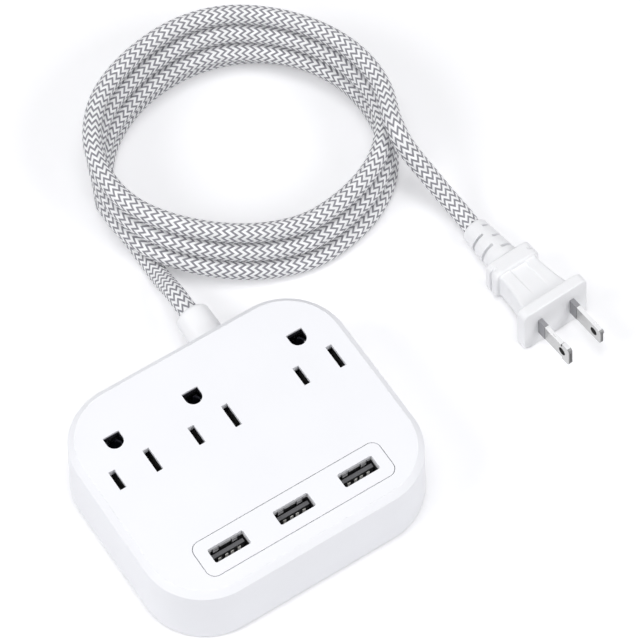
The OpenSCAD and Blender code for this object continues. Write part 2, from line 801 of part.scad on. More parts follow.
module tube(path, d, n, up = [0, 0, 1]) {
    last = len(path) - 1;
    points = [for (i = [0:last]) each ring(path[i], heading(path, i), up, d, n)];
    walls = [
        for (i = [0:last - 1]) for (k = [0:n - 1])
            let (a = i * n + k, b = i * n + (k + 1) % n) each [[a, a + n, b], [b, a + n, b + n]]
    ];
    ends = [for (k = [1:n - 2]) each [[0, k, k + 1], [last * n, last * n + k + 1, last * n + k]]];
    polyhedron(points, concat(walls, ends));
}

// Two insulated wires leave the cord's end and reach the solder tabs from behind
module mains_wire(off, tab_x, tab_y) {
    start = [gland_x + off, cord_in_y, gland_z];
    end = [tab_x, tab_y + strip_t / 2, z_wire_run];
    drop_y = holder_back + wire_d / 2 + wire_room;
    aside = tab_x - start[0];
    way = [
        start + [0, 4, 0], start,
        [start[0] + aside * 0.05, (cord_in_y + drop_y) / 2, (gland_z + z_wire_run) / 2],
        [start[0] + aside * 0.15, drop_y, z_wire_run],
        [tab_x - aside * 0.15, tab_y + strip_t / 2 + 3 * wire_d, z_wire_run],
        end + [0, 2.5, 0], end, end - [0, 3, 0]
    ];
    tube(smooth_route(way, 3), wire_d, 8);
}

module live_wire() {
    color("black") mains_wire(wire_off, hot_tab_x, hot_strip_y);
}

module neutral_wire() {
    color("white") mains_wire(-wire_off, neutral_tab_x, neutral_strip_y);
}

// From a tab's front face to the underside of the charger board
module board_wire(tab_x, tab_y) {
    start = [tab_x, tab_y - strip_t / 2, z_wire_run];
    end = [tab_x, board_back - 5, z_board_low];
    low = (z_floor + z_wire_run) / 2;
    way = [
        start + [0, 4, 0], start, start - [0, 2, 0],
        [tab_x, (start[1] + end[1]) / 2, low], [tab_x, end[1] + 2.2, low - 0.3],
        end - [0, 0, 2], end, end + [0, 0, 3]
    ];
    tube(smooth_route(way, 3), wire_d, 8, [1, 0, 0]);
}

module board_live_wire() {
    color("black") board_wire(hot_tab_x, hot_strip_y);
}

module board_neutral_wire() {
    color("white") board_wire(neutral_tab_x, neutral_strip_y);
}

// Moulded sleeve round the cord: a flange inside the wall, a neck in its hole and a round-ended
// collar outside
module cord_gland() {
    rim = gland_end - gland_round;
    color("white") difference() {
        translate([gland_x, 0, gland_z]) rotate([-90, 0, 0]) rotate_extrude() {
            translate([0, gland_in - gland_flange_t - gland_seat])
                square([gland_d / 2 + 0.5, gland_flange_t]);
            translate([0, gland_in - gland_flange_t])
                square([gland_neck_d / 2, wall_y - gland_in + gland_flange_t + 1]);
            translate([0, wall_y]) square([gland_d / 2, rim - wall_y]);
            translate([0, wall_y]) square([gland_d / 2 - gland_round, gland_end - wall_y]);
            translate([gland_d / 2 - gland_round, rim]) circle(gland_round);
        }
        bar_y(cord_d + 2 * gland_fit, cord_in_y, gland_end + past);
    }
}

// Share of a rise that starts and stops gently, and a gentle hump of a given half width
function ease(x) = let (c = min(1, max(0, x))) c * c * (3 - 2 * c);
function hump(x, half) = abs(x) < half ? 0.5 + 0.5 * cos(180 * x / half) : 0;
function from_turn(t, at) = (t - at + 1.5) % 1 - 0.5;

// Layer of the coil after t turns, and the coil's middle line there
function coil_layer(t) = floor(t) + ease((t - floor(t) - climb_from) / climb_over);
function coil_swell(t) =
    4.5 * hump(from_turn(t, 0.85), 0.16)
    - 3 * hump(from_turn(t, 0.1), 0.15) * ease((t - 0.3) / 0.3)
    - 2.5 * hump(from_turn(t, 0.61), 0.15)
    + 3 * ease((t - 3.28) / 0.3);
function turned(p) =
    [p[0] * cos(coil_yaw) - p[1] * sin(coil_yaw), p[0] * sin(coil_yaw) + p[1] * cos(coil_yaw)];
function coil_point(t) =
    let (
        round = 180 - 360 * t,
        layer = coil_layer(t),
        swell = coil_swell(t),
        first_back = 7 * hump(t - 0.3, 0.3),
        flat = coil_mid + layer * coil_lean
            + [(coil_a + swell) * cos(round), (coil_b + swell) * sin(round) + first_back],
        xy = turned(flat)
    )
    [xy[0], xy[1], cord_lie + layer * layer_h];
function coil_heading(t) = unit(coil_point(t + 0.001) - coil_point(t - 0.001));
coil_start = coil_point(coil_from) - cord_d * coil_heading(coil_from);
coil_end = coil_point(coil_to) + cord_d * coil_heading(coil_to);
coil_last = ceil((coil_to - coil_from) * coil_steps);
coil_turns = [for (k = [0:coil_last]) min(coil_to, coil_from + k / coil_steps)];
coil_path = concat([coil_start], [for (t = coil_turns) coil_point(t)], [coil_end]);

// Least air between two stretches of the coil that are more than half a turn apart
coil_air = min([
    for (i = [0:len(coil_path) - 1]) for (k = [i + coil_steps / 2:len(coil_path) - 1])
        norm(coil_path[i] - coil_path[k])
]) - cord_d;
echo(least_gap_between_turns = coil_air);

lead_path = concat(
    [[gland_x, cord_in_y, gland_z], [gland_x, wall_y, gland_z]],
    smooth_route(
        concat([[gland_x, wall_y, gland_z], [gland_x, gland_end, gland_z]], lead_route,
            [coil_start, coil_point(coil_from)]),
        2
    )
);
tail_path = smooth_route(
    concat([coil_point(coil_to), coil_end], tail_route,
        [plug_at, plug_at + cord_in_boot * plug_axis, plug_at + 2 * cord_in_boot * plug_axis]),
    2
);

module cord_lead() {
    color("lightgray") tube(lead_path, cord_d, cord_sides);
}

module cord_coil() {
    color("lightgray") tube(coil_path, cord_d, coil_sides);
}

module cord_tail() {
    color("lightgray") tube(tail_path, cord_d, cord_sides);
}

// Everything on the plug is drawn along +X from the boot's mouth, with the blades side by side in Y
module on_plug() {
    translate(plug_at) rotate([0, 0, plug_yaw]) rotate([0, -plug_pitch, 0]) children();
}

// Block along the plug from u0 to u1 on a rounded rectangle
module plug_block(w, h, r, u0, u1) {
    translate([u0, 0, 0]) rotate([90, 0, 90]) linear_extrude(u1 - u0) rounded_rect(w, h, r);
}

module boot_grooves(places, side) {
    for (u = places) {
        here = boot_d0 + (boot_d1 - boot_d0) * u / boot_l;
        translate([u - groove_w / 2, 0, 0]) intersection() {
            rotate([0, 90, 0]) difference() {
                cylinder(d = 2 * boot_d1, h = groove_w);
                translate([0, 0, -past]) cylinder(d = here - 2 * groove_deep, h = groove_w + 2 * past);
            }
            translate([-past, side > 0 ? groove_bridge : -groove_bridge - boot_d1, -boot_d1])
                cube([groove_w + 2 * past, boot_d1, 2 * boot_d1]);
        }
    }
}

// Grip seen from above: hollow sides from the waist behind to the wide end at the front flange
module grip_outline() {
    rise = (grip_w1 - grip_w0) / 2;
    hollow_r = (grip_l * grip_l + rise * rise) / (2 * rise);
    difference() {
        translate([collar_end - eps, -grip_w1 / 2]) square([grip_l + 2 * eps, grip_w1]);
        for (s = [-1, 1]) translate([collar_end, s * (grip_w0 / 2 + hollow_r)]) circle(hollow_r, $fn = 200);
    }
}

// Slot for one blade through the plug's front
module blade_space(y) {
    translate([blade_root - past, y - blade_t / 2 - blade_fit, -blade_w / 2 - blade_fit])
        cube([plug_face - blade_root + 2 * past, blade_t + 2 * blade_fit, blade_w + 2 * blade_fit]);
}

// Grooves that part each end of the collar into two ribs
module collar_grooves() {
    for (s = [-1, 1])
        translate([(boot_l + collar_end) / 2, s * collar_w / 2, 0])
            cube([rib_gap, 2 * rib_deep, 2 * collar_h], center = true);
}

// Finger hollows with round ends in the top and the underside of the grip
module finger_hollows() {
    for (s = [-1, 1])
        translate([collar_end + grip_l / 2, 0, s * grip_h / 2 - hollow_deep])
            linear_extrude(2 * hollow_deep) rounded_rect(hollow_l, hollow_w, plug_r);
}

module plug_body() {
    color("white") on_plug() difference() {
        union() {
            difference() {
                rotate([0, 90, 0]) cylinder(d1 = boot_d0, d2 = boot_d1, h = boot_l + eps);
                boot_grooves(left_grooves, -1);
                boot_grooves(right_grooves, 1);
            }
            plug_block(collar_w, collar_h, plug_r, boot_l, collar_end);
            translate([0, 0, -grip_h / 2]) linear_extrude(grip_h) grip_outline();
            plug_block(front_w, front_h, plug_r, grip_end, plug_face);
        }
        translate([-past, 0, 0]) rotate([0, 90, 0])
            cylinder(d = cord_d + 2 * gland_fit, h = cord_in_boot + past);
        for (s = [-1, 1]) blade_space(s * blade_gap / 2);
        collar_grooves();
        finger_hollows();
        translate([bridge_end - bridge_l / 2, 0, 0])
            cube([bridge_l, bridge_w, bridge_h] + 2 * bridge_fit * [1, 1, 1], center = true);
    }
}

// Hard inner block that holds the two blades apart inside the soft moulding
module plug_bridge() {
    color("ivory") on_plug() difference() {
        translate([bridge_end - bridge_l, -bridge_w / 2, -bridge_h / 2]) cube([bridge_l, bridge_w, bridge_h]);
        for (s = [-1, 1]) blade_space(s * blade_gap / 2);
    }
}

// Flat blade with a hole near its tip. The tip is a rounded tab of its own width.
module blade(y, tip_w, tip_l) {
    on_plug() translate([0, y + blade_t / 2, 0]) rotate([90, 0, 0]) linear_extrude(blade_t) difference() {
        union() {
            translate([blade_root, -blade_w / 2]) square([blade_tip - tip_l - blade_root + eps, blade_w]);
            translate([blade_tip - tip_l / 2, 0]) difference() {
                rounded_rect(tip_l, tip_w, blade_tip_r);
                translate([-tip_l, 0]) square([tip_l, 2 * tip_w], center = true);
            }
            translate([blade_tip - tip_l, -tip_w / 2]) square([tip_l / 2, tip_w]);
        }
        translate([blade_tip - blade_hole_in, 0]) circle(d = blade_hole_d);
    }
}

module hot_blade() {
    color("silver") blade(blade_gap / 2, blade_w, neutral_tip_l);
}

module neutral_blade() {
    color("silver") blade(-blade_gap / 2, neutral_tip_w, neutral_tip_l);
}

// Dark sleeve round the root of a blade, against the plug's face
module sleeve(y) {
    on_plug() difference() {
        translate([plug_face, y - blade_t / 2 - sleeve_t, -blade_w / 2 - sleeve_t])
            cube([sleeve_l, blade_t + 2 * sleeve_t, blade_w + 2 * sleeve_t]);
        translate([sleeve_l, 0, 0]) blade_space(y);
        blade_space(y);
    }
}

module hot_sleeve() {
    color("dimgray") sleeve(blade_gap / 2);
}

module neutral_sleeve() {
    color("dimgray") sleeve(-blade_gap / 2);
}

top_cover();
base_cover();
usb_panel();
housing_screws();
rubber_feet();
contact_holder();
hot_bus();
neutral_bus();
earth_strip();
usb_board();
board_screws();
for (k = [0:2]) {
    usb_shell(usb_xs[k]);
    usb_tongue(usb_xs[k]);
    usb_contacts(usb_xs[k]);
}
transformer_core();
transformer_bobbin();
bulk_capacitor();
output_capacitor();
fuse();
surge_disc();
rectifier();
control_chip();
live_wire();
neutral_wire();
board_live_wire();
board_neutral_wire();
cord_gland();
cord_lead();
cord_coil();
cord_tail();
plug_body();
plug_bridge();
hot_blade();
neutral_blade();
hot_sleeve();
neutral_sleeve();
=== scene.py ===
import math

import bmesh
import bpy
from mathutils import Matrix, Vector


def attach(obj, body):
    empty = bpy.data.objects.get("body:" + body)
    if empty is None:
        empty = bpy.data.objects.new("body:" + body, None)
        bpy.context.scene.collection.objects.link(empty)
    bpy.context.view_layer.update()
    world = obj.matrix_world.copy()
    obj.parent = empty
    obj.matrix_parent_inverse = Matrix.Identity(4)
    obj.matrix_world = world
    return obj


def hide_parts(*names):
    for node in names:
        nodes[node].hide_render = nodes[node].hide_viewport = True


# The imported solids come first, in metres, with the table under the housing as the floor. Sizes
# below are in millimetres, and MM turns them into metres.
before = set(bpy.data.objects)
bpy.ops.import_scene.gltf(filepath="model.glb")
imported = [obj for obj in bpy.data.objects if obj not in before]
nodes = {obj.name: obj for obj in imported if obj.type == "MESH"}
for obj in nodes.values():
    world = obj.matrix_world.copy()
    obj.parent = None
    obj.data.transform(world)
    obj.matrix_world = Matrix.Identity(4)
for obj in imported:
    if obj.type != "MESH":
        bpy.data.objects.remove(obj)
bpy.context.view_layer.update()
MM = 0.001

# Camera: a long lens high over the front left corner, which keeps the sides nearly parallel.
# The colours are shown as they are written.
lens = bpy.data.cameras.new("long_lens")
lens.sensor_width = 36
lens.lens = 196.875
lens.clip_start = 0.05
lens.clip_end = 20
camera = bpy.data.objects.new("camera", lens)
camera.location = (-0.2588, -0.4388, 0.9750)
camera.rotation_euler = (math.radians(30.241), 0, math.radians(-33.089))
bpy.context.collection.objects.link(camera)
bpy.context.scene.camera = camera
bpy.context.scene.view_settings.view_transform = "Standard"

# Braided cord: a round mains lead in a sleeve of white and grey yarn, woven in zigzag rows. It
# leaves the housing's back, drops to the table, goes three and a half times round a pile of
# loops and comes down from the top of the pile to the plug.
CORD_D = 6.5
LIE = CORD_D / 2 + 0.05
WALL_Y = 41.5
GLAND_X = 14.0
GLAND_Z = 13.0
GLAND_END = WALL_Y + 13.8
CORD_IN_Y = 34.1
LEAD_ROUTE = [
    (14.1, 60.5, 12.5), (14.5, 65.5, 11), (15, 70.5, 8.2), (15.5, 75.5, 5.4),
    (15.9, 80.5, 3.8), (16.1, 86, 3.3), (16, 95, 3.3), (15.6, 104, 3.3),
]
TAIL_ROUTE = [
    (103.9, 72.7, 24), (103.5, 68.5, 22.4), (104.1, 64.7, 19.9), (105.2, 61.2, 17),
    (106.5, 57.7, 14), (107.7, 54.2, 11.1), (108.8, 50.4, 8.6), (109.8, 46, 6.7), (110.5, 41.3, 5.4),
]
ROUTE_STEPS = 8

# The coil's loops are ovals that lean back as they climb. Each bulge or pinch has its size, its
# place in a turn and half its length in turns.
LAYER = CORD_D + 0.55
COIL_YAW = math.radians(-33)
COIL_A = 47.2
COIL_B = 40.3
COIL_MID = (-1.1, 114.3)
COIL_LEAN = (-1.0, 2.6)
COIL_FROM = -0.02
COIL_TO = 3.475
COIL_STEPS = 160
CLIMB_FROM = 0.65
CLIMB_SPAN = 0.19
OVER_LEAD = (4.5, 0.85, 0.16)
NEAR_BULGE = (7, 0.3, 0.3)
LEFT_PINCH = (3, 0.1, 0.15)
RIGHT_PINCH = (2.5, 0.61, 0.15)
PINCH_FROM = 0.3
PINCH_SPAN = 0.3
LAST_SWELL = 3
SWELL_FROM = 3.28
SWELL_SPAN = 0.3
NUDGE = 0.001

# The plug lies on its boot's end and its flange, so its sizes set where the cord ends.
BOOT_L = 17.5
BOOT_D = (9.2, 11.5)
BOOT_HOLD = 6
COLLAR_L = 6.0
COLLAR_W = 17.5
COLLAR_H = 12.6
GRIP_L = 16.0
FRONT_T = 4.0
FRONT_W = 25.4
FRONT_H = 17.8
COLLAR_END = BOOT_L + COLLAR_L
GRIP_END = COLLAR_END + GRIP_L
PLUG_FACE = GRIP_END + FRONT_T
PLUG_PITCH = math.atan((FRONT_H - BOOT_D[0]) / 2 / GRIP_END)
PLUG_YAW = math.radians(-87.5)
PLUG_AT = Vector((110.8, 36.4, BOOT_D[0] / 2 * math.cos(PLUG_PITCH) + 0.05))
PLUG_AXIS = Vector((
    math.cos(PLUG_PITCH) * math.cos(PLUG_YAW),
    math.cos(PLUG_PITCH) * math.sin(PLUG_YAW),
    math.sin(PLUG_PITCH),
))


def ease(x):
    c = min(1.0, max(0.0, x))
    return c * c * (3 - 2 * c)


def hump(x, half):
    return 0.5 + 0.5 * math.cos(math.pi * x / half) if abs(x) < half else 0.0


def in_each_turn(t, bulge):
    """A bulge that comes back with every turn of the coil."""
    size, at, half = bulge
    return size * hump(math.fmod(t - at + 1.5, 1) - 0.5, half)


def coil_point(t):
    """A point on the coil's middle line after t turns."""
    layer = math.floor(t) + ease((t - math.floor(t) - CLIMB_FROM) / CLIMB_SPAN)
    swell = in_each_turn(t, OVER_LEAD) + LAST_SWELL * ease((t - SWELL_FROM) / SWELL_SPAN)
    swell -= in_each_turn(t, LEFT_PINCH) * ease((t - PINCH_FROM) / PINCH_SPAN)
    swell -= in_each_turn(t, RIGHT_PINCH)
    turn = math.pi - 2 * math.pi * t
    x = COIL_MID[0] + layer * COIL_LEAN[0] + (COIL_A + swell) * math.cos(turn)
    y = COIL_MID[1] + layer * COIL_LEAN[1] + (COIL_B + swell) * math.sin(turn)
    y += NEAR_BULGE[0] * hump(t - NEAR_BULGE[1], NEAR_BULGE[2])
    c, s = math.cos(COIL_YAW), math.sin(COIL_YAW)
    return Vector((x * c - y * s, x * s + y * c, LIE + layer * LAYER))


def coil_heading(t):
    return (coil_point(t + NUDGE) - coil_point(t - NUDGE)).normalized()


def smooth_route(points):
    """A smooth line through all the points but the first and the last."""
    p = [Vector(q) for q in points]
    made = []
    for i in range(1, len(p) - 2):
        a, b, c, d = p[i - 1:i + 3]
        for k in range(ROUTE_STEPS):
            u = k / ROUTE_STEPS
            made.append(0.5 * (
                2 * b + (c - a) * u + (2 * a - 5 * b + 4 * c - d) * u * u
                + (3 * b - a - 3 * c + d) * u * u * u
            ))
    return made + [p[-2]]


coil_start = coil_point(COIL_FROM) - CORD_D * coil_heading(COIL_FROM)
coil_end = coil_point(COIL_TO) + CORD_D * coil_heading(COIL_TO)
wall_point = Vector((GLAND_X, WALL_Y, GLAND_Z))
lead_line = [Vector((GLAND_X, CORD_IN_Y, GLAND_Z)), wall_point] + smooth_route(
    [wall_point, (GLAND_X, GLAND_END, GLAND_Z)] + LEAD_ROUTE + [coil_start, coil_point(COIL_FROM)]
)
coil_count = int((COIL_TO - COIL_FROM) * COIL_STEPS)
coil_line = [
    coil_point(COIL_FROM + (COIL_TO - COIL_FROM) * k / coil_count) for k in range(coil_count + 1)
]
boot_stop = PLUG_AT + BOOT_HOLD * PLUG_AXIS
tail_line = smooth_route(
    [coil_point(COIL_TO), coil_end] + TAIL_ROUTE
    + [PLUG_AT, boot_stop, boot_stop + BOOT_HOLD * PLUG_AXIS]
)
rough_line = lead_line + coil_line + tail_line
reach = [0.0]
for a, b in zip(rough_line, rough_line[1:]):
    reach.append(reach[-1] + (b - a).length)
cord_length = reach[-1]


def spots_along(places):
    """Points on the cord's middle line at rising distances from its start."""
    found = []
    k = 0
    for place in places:
        while k < len(reach) - 2 and reach[k + 1] < place:
            k += 1
        span = max(reach[k + 1] - reach[k], 1e-9)
        found.append(rough_line[k].lerp(rough_line[k + 1], (place - reach[k]) / span))
    return found


STEP = 0.5
HEADING_SPAN = 3
step_count = int(cord_length / STEP)
even = spots_along([cord_length * k / step_count for k in range(step_count + 1)])
even_step = cord_length / step_count
cross_frames = []
for k in range(len(even)):
    ahead = even[min(k + HEADING_SPAN, len(even) - 1)]
    behind = even[max(k - HEADING_SPAN, 0)]
    along = (ahead - behind).normalized()
    side = along.cross(Vector((0, 0, 1))).normalized()
    cross_frames.append((side, side.cross(along)))

# The braid is rings of points that follow the zigzag, every other ring sunk a little, so that each
# row of yarn stands up by itself.
ROW = 2.54
ROW_RINGS = 4
ZIGS = 16
ZIG_EDGES = 2
ZIG_RISE = 1.8
GROOVE = 0.16
BEND_DIP = 0.08
AROUND = ZIGS * ZIG_EDGES
ring_gap = ROW / ROW_RINGS
first_ring = -int(ZIG_RISE / ring_gap) - 1
last_ring = int(cord_length / ring_gap) + 2
verts = []
for i in range(first_ring, last_ring + 1):
    sunk = 0 if i % 2 else GROOVE
    for k in range(AROUND):
        zig = (k / ZIG_EDGES) % 2
        zig = zig if zig < 1 else 2 - zig
        place = min(cord_length, max(0.0, i * ring_gap + ZIG_RISE * zig)) / even_step
        n = min(int(place), len(even) - 2)
        centre = even[n].lerp(even[n + 1], place - n)
        side = cross_frames[n][0].lerp(cross_frames[n + 1][0], place - n)
        over = cross_frames[n][1].lerp(cross_frames[n + 1][1], place - n)
        turn = 2 * math.pi * k / AROUND
        r = CORD_D / 2 - sunk - (BEND_DIP if k % ZIG_EDGES == 0 else 0)
        verts.append((centre + r * (math.cos(turn) * side + math.sin(turn) * over)) * MM)
rings = last_ring - first_ring + 1
faces = []
weave = []
for i in range(rings - 1):
    for k in range(AROUND):
        a = i * AROUND + k
        b = i * AROUND + (k + 1) % AROUND
        faces.append((a, a + AROUND, b + AROUND, b))
        row = (i + first_ring) / ROW_RINGS
        next_row = row + 1 / ROW_RINGS
        left, right = k / AROUND, (k + 1) / AROUND
        weave += [(row, left), (next_row, left), (next_row, right), (row, right)]
braid_mesh = bpy.data.meshes.new("braided_cord")
braid_mesh.from_pydata(verts, [], faces)
weave_map = braid_mesh.uv_layers.new(name="weave")
for loop, place in zip(weave_map.data, weave):
    loop.uv = place
bm = bmesh.new()
bm.from_mesh(braid_mesh)
bmesh.ops.remove_doubles(bm, verts=bm.verts, dist=0.00001)
bmesh.ops.holes_fill(bm, edges=[e for e in bm.edges if e.is_boundary], sides=0)
bmesh.ops.recalc_face_normals(bm, faces=bm.faces)
bm.to_mesh(braid_mesh)
bm.free()
for face in braid_mesh.polygons:
    face.use_smooth = True
cord = bpy.data.objects.new("braided_cord", braid_mesh)
bpy.context.collection.objects.link(cord)


def shader(name):
    """A new material with its node tree and its surface shader."""
    material = bpy.data.materials.new(name)
    material.use_nodes = True
    return material, material.node_tree, material.node_tree.nodes["Principled BSDF"]


def wire(tree, kind, inputs=None, **settings):
    """A new node with its settings and its input links or values."""
    node = tree.nodes.new(kind)
    for key, value in settings.items():
        setattr(node, key, value)
    for key, value in (inputs or {}).items():
        if isinstance(value, bpy.types.NodeSocket):
            tree.links.new(value, node.inputs[key])
        else:
            node.inputs[key].default_value = value
    return node


def sums(tree, operation, a, b=0.0, c=0.0):
    node = wire(tree, "ShaderNodeMath", {0: a, 1: b, 2: c}, operation=operation)
    return node.outputs[0]


def noise(tree, place, scale, detail):
    node = wire(tree, "ShaderNodeTexNoise", {0: place, "Scale": scale, "Detail": detail})
    return node.outputs[0]


def ramp(tree, value, low, high):
    """Rises smoothly from 0 to 1 between two values."""
    node = wire(
        tree, "ShaderNodeMapRange", {0: value, 1: low, 2: high}, interpolation_type="SMOOTHSTEP"
    )
    return node.outputs[0]


def mixed(tree, share, a, b):
    """A share of the second colour in the first."""
    node = tree.nodes.new("ShaderNodeMix")
    node.data_type = "RGBA"
    for socket, value in ((node.inputs[0], share), (node.inputs[6], a), (node.inputs[7], b)):
        if isinstance(value, bpy.types.NodeSocket):
            tree.links.new(value, socket)
        else:
            socket.default_value = value
    return node.outputs[2]


def embossed(tree, bsdf, height, strength, distance):
    """Fine relief in the shading."""
    node = wire(
        tree, "ShaderNodeBump", {"Strength": strength, "Distance": distance, "Height": height}
    )
    tree.links.new(node.outputs[0], bsdf.inputs["Normal"])


WHITE_YARN = (0.96, 0.96, 0.97, 1)
GREY_YARN = (0.245, 0.245, 0.27, 1)
GREY_FROM = (0.44, 0.58)
GREY_TO = (0.88, 1.0)
THREADS = 8
FUZZ_STRETCH = (9.0, 60.0, 1.0)
braid, tree, bsdf = shader("braid")
uv = wire(tree, "ShaderNodeUVMap", uv_map="weave")
split = wire(tree, "ShaderNodeSeparateXYZ", {0: uv.outputs[0]})
row, round_it = split.outputs[0], split.outputs[1]
in_row = sums(tree, "FRACT", row)
grey = sums(tree, "SUBTRACT", ramp(tree, in_row, *GREY_FROM), ramp(tree, in_row, *GREY_TO))
stroke = wire(tree, "ShaderNodeCombineXYZ", {
    0: sums(tree, "FLOOR", sums(tree, "MULTIPLY", row, 2.0)),
    1: sums(tree, "FLOOR", sums(tree, "MULTIPLY", round_it, float(ZIGS))),
})
uneven = wire(tree, "ShaderNodeTexWhiteNoise", {0: stroke.outputs[0]}, noise_dimensions="3D")
thread = sums(tree, "SINE", sums(tree, "MULTIPLY", row, 2 * math.pi * THREADS))
fuzz_at = wire(tree, "ShaderNodeMapping", {0: uv.outputs[0], 3: FUZZ_STRETCH})
fuzz = noise(tree, fuzz_at.outputs[0], 4.0, 3.0)
shade = sums(tree, "MULTIPLY_ADD", uneven.outputs[0], 0.10, 0.92)
shade = sums(tree, "ADD", shade, sums(tree, "MULTIPLY", sums(tree, "SUBTRACT", fuzz, 0.5), 0.25))
yarn = mixed(tree, grey, WHITE_YARN, GREY_YARN)
toned = wire(tree, "ShaderNodeVectorMath", {0: yarn}, operation="SCALE")
tree.links.new(shade, toned.inputs["Scale"])
tree.links.new(toned.outputs[0], bsdf.inputs["Base Color"])
bsdf.inputs["Roughness"].default_value = 0.5
bsdf.inputs["Sheen Weight"].default_value = 0.1
half_row = sums(tree, "FRACT", sums(tree, "MULTIPLY", row, 2.0))
crown = sums(tree, "SINE", sums(tree, "MULTIPLY", half_row, math.pi))
height = sums(tree, "MULTIPLY_ADD", thread, 0.10, crown)
height = sums(tree, "MULTIPLY_ADD", fuzz, 0.35, height)
embossed(tree, bsdf, height, 0.5, 0.00012)
cord.data.materials.append(braid)
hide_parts("cord_lead", "cord_coil", "cord_tail")
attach(cord, "root")

# Cord sleeve: a soft white moulding pressed into the back wall, with a round-ended collar outside
# and a flange inside, so that the cord can't be pulled out. It is turned from one profile, given
# as radii and places along the cord.
SLEEVE = [
    (3.36, 36.4), (6.5, 36.4), (6.5, 38.4), (4.5, 38.4), (4.5, 41.5), (6.0, 41.5), (6.0, 42.2),
    (5.96, 46.0), (5.9, 52.6),
]
TIP_MID = (4.3, 53.7)
TIP_R = 1.6
TIP_STEPS = 8
MOUTH = [(4.1, 55.3), (3.6, 55.05), (3.36, 54.4)]
SLEEVE_STEPS = 72
GRAIN_DEPTH = 0.00002


def piece(name, bm, material, node):
    """Makes the mesh an object that stands for a solid, rides on the housing and has its finish."""
    mesh = bpy.data.meshes.new(name)
    bm.to_mesh(mesh)
    bm.free()
    for face in mesh.polygons:
        face.use_smooth = True
    mesh.materials.append(material)
    made = bpy.data.objects.new(name, mesh)
    bpy.context.collection.objects.link(made)
    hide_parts(node)
    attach(made, "root")
    return made


def sharpen(made, degrees=35):
    """Edges sharper than this keep a crease in the shading."""
    made.data.set_sharp_from_angle(angle=math.radians(degrees))


def turned(profile, centre, axis, across, steps):
    """A solid of revolution from points given as (radius, place along the axis)."""
    bm = bmesh.new()
    made = []
    for r, along in profile:
        made.append(bm.verts.new((Vector(centre) + Vector(across) * r + Vector(axis) * along) * MM))
    edges = [bm.edges.new((a, b)) for a, b in zip(made, made[1:] + made[:1])]
    bmesh.ops.spin(
        bm, geom=made + edges, cent=Vector(centre) * MM, axis=axis, angle=2 * math.pi,
        steps=steps, use_merge=True, use_duplicate=False,
    )
    bmesh.ops.remove_doubles(bm, verts=bm.verts, dist=0.000002)
    bmesh.ops.recalc_face_normals(bm, faces=bm.faces)
    return bm


def plastic(name, colour, rough, grain, depth=GRAIN_DEPTH, tone=0.02):
    """Moulded plastic: an even colour, a hint of flow in its tone and a fine grain in its gloss."""
    material, tree, bsdf = shader(name)
    place = wire(tree, "ShaderNodeTexCoord").outputs["Object"]
    flow = noise(tree, place, 45.0, 2.0)
    light = tuple(min(1.0, c * (1 + tone)) for c in colour) + (1,)
    dark = tuple(c * (1 - tone) for c in colour) + (1,)
    tree.links.new(mixed(tree, flow, dark, light), bsdf.inputs["Base Color"])
    fine = noise(tree, place, grain, 3.0)
    gloss = wire(tree, "ShaderNodeMapRange", {0: fine, 3: rough - 0.05, 4: rough + 0.05})
    tree.links.new(gloss.outputs[0], bsdf.inputs["Roughness"])
    embossed(tree, bsdf, fine, 0.2, depth)
    return material


tip = []
for k in range(TIP_STEPS + 1):
    turn = k * math.pi / 2 / TIP_STEPS
    tip.append((TIP_MID[0] + TIP_R * math.cos(turn), TIP_MID[1] + TIP_R * math.sin(turn)))
soft_white = plastic("soft_white", (0.91, 0.912, 0.925), 0.42, 2600.0)
gland = piece(
    "cord_sleeve",
    turned(SLEEVE + tip + MOUTH, (GLAND_X, 0, GLAND_Z), (0, 1, 0), (1, 0, 0), SLEEVE_STEPS),
    soft_white, "cord_gland",
)
sharpen(gland, 40)

# Plug moulding: soft white plastic shot round the cord and the blades, in one piece: a boot with
# staggered grooves, a ribbed collar, a waisted grip with finger hollows and a front flange. It is
# built along the x axis from the boot's end and then laid on the table.
BOOT_EASE = 0.6
LEFT_GROOVES = (6.2, 11.5)
RIGHT_GROOVES = (3.2, 8.6, 14.0)
GROOVE_W = 1.0
GROOVE_DEEP = 2.0
BOOT_CORE = 3
BRIDGE = 0.8
ROUND_STEPS = 6
EASE_STEPS = 3
COLLAR_R = 2.6
COLLAR_EASE = 0.7
RIB_MID = BOOT_L + COLLAR_L / 2
RIB_HALF = 0.5
RIB_DEEP = 1.1
GRIP_W = (14.4, 19.0)
GRIP_H = 10.6
GRIP_R = 1.1
GRIP_STEPS = 4
GRIP_CUTS = 14
HOLLOW = (13.0, 6.2, 2.0)
HOLLOW_DEEP = 0.75
FRONT_R = 2.2
FRONT_EASE = 0.55
SKIN_MESH = 0.21
on_plug = (
    Matrix.Translation(PLUG_AT * MM) @ Matrix.Rotation(PLUG_YAW, 4, "Z")
    @ Matrix.Rotation(-PLUG_PITCH, 4, "Y") @ Matrix.Scale(MM, 4)
)


def block(size, at):
    """A block with its three sizes about a point."""
    bm = bmesh.new()
    bmesh.ops.create_cube(bm, size=1)
    bmesh.ops.scale(bm, vec=size, verts=bm.verts)
    bmesh.ops.translate(bm, vec=at, verts=bm.verts)
    return bm


def rounded(bm, wanted, radius, segments):
    edges = [e for e in bm.edges if wanted(e)]
    bmesh.ops.bevel(
        bm, geom=edges, offset=radius, offset_type="OFFSET", segments=segments, profile=0.5,
        affect="EDGES", material=-1,
    )


def runs_along(edge):
    way = edge.verts[1].co - edge.verts[0].co
    return abs(way.x) > 0.9 * way.length


def sharp_edge(edge):
    return edge.is_manifold and edge.calc_face_angle(0) > math.radians(50)


def sharp_start(edge):
    return sharp_edge(edge) and edge.verts[0].co.x < 1


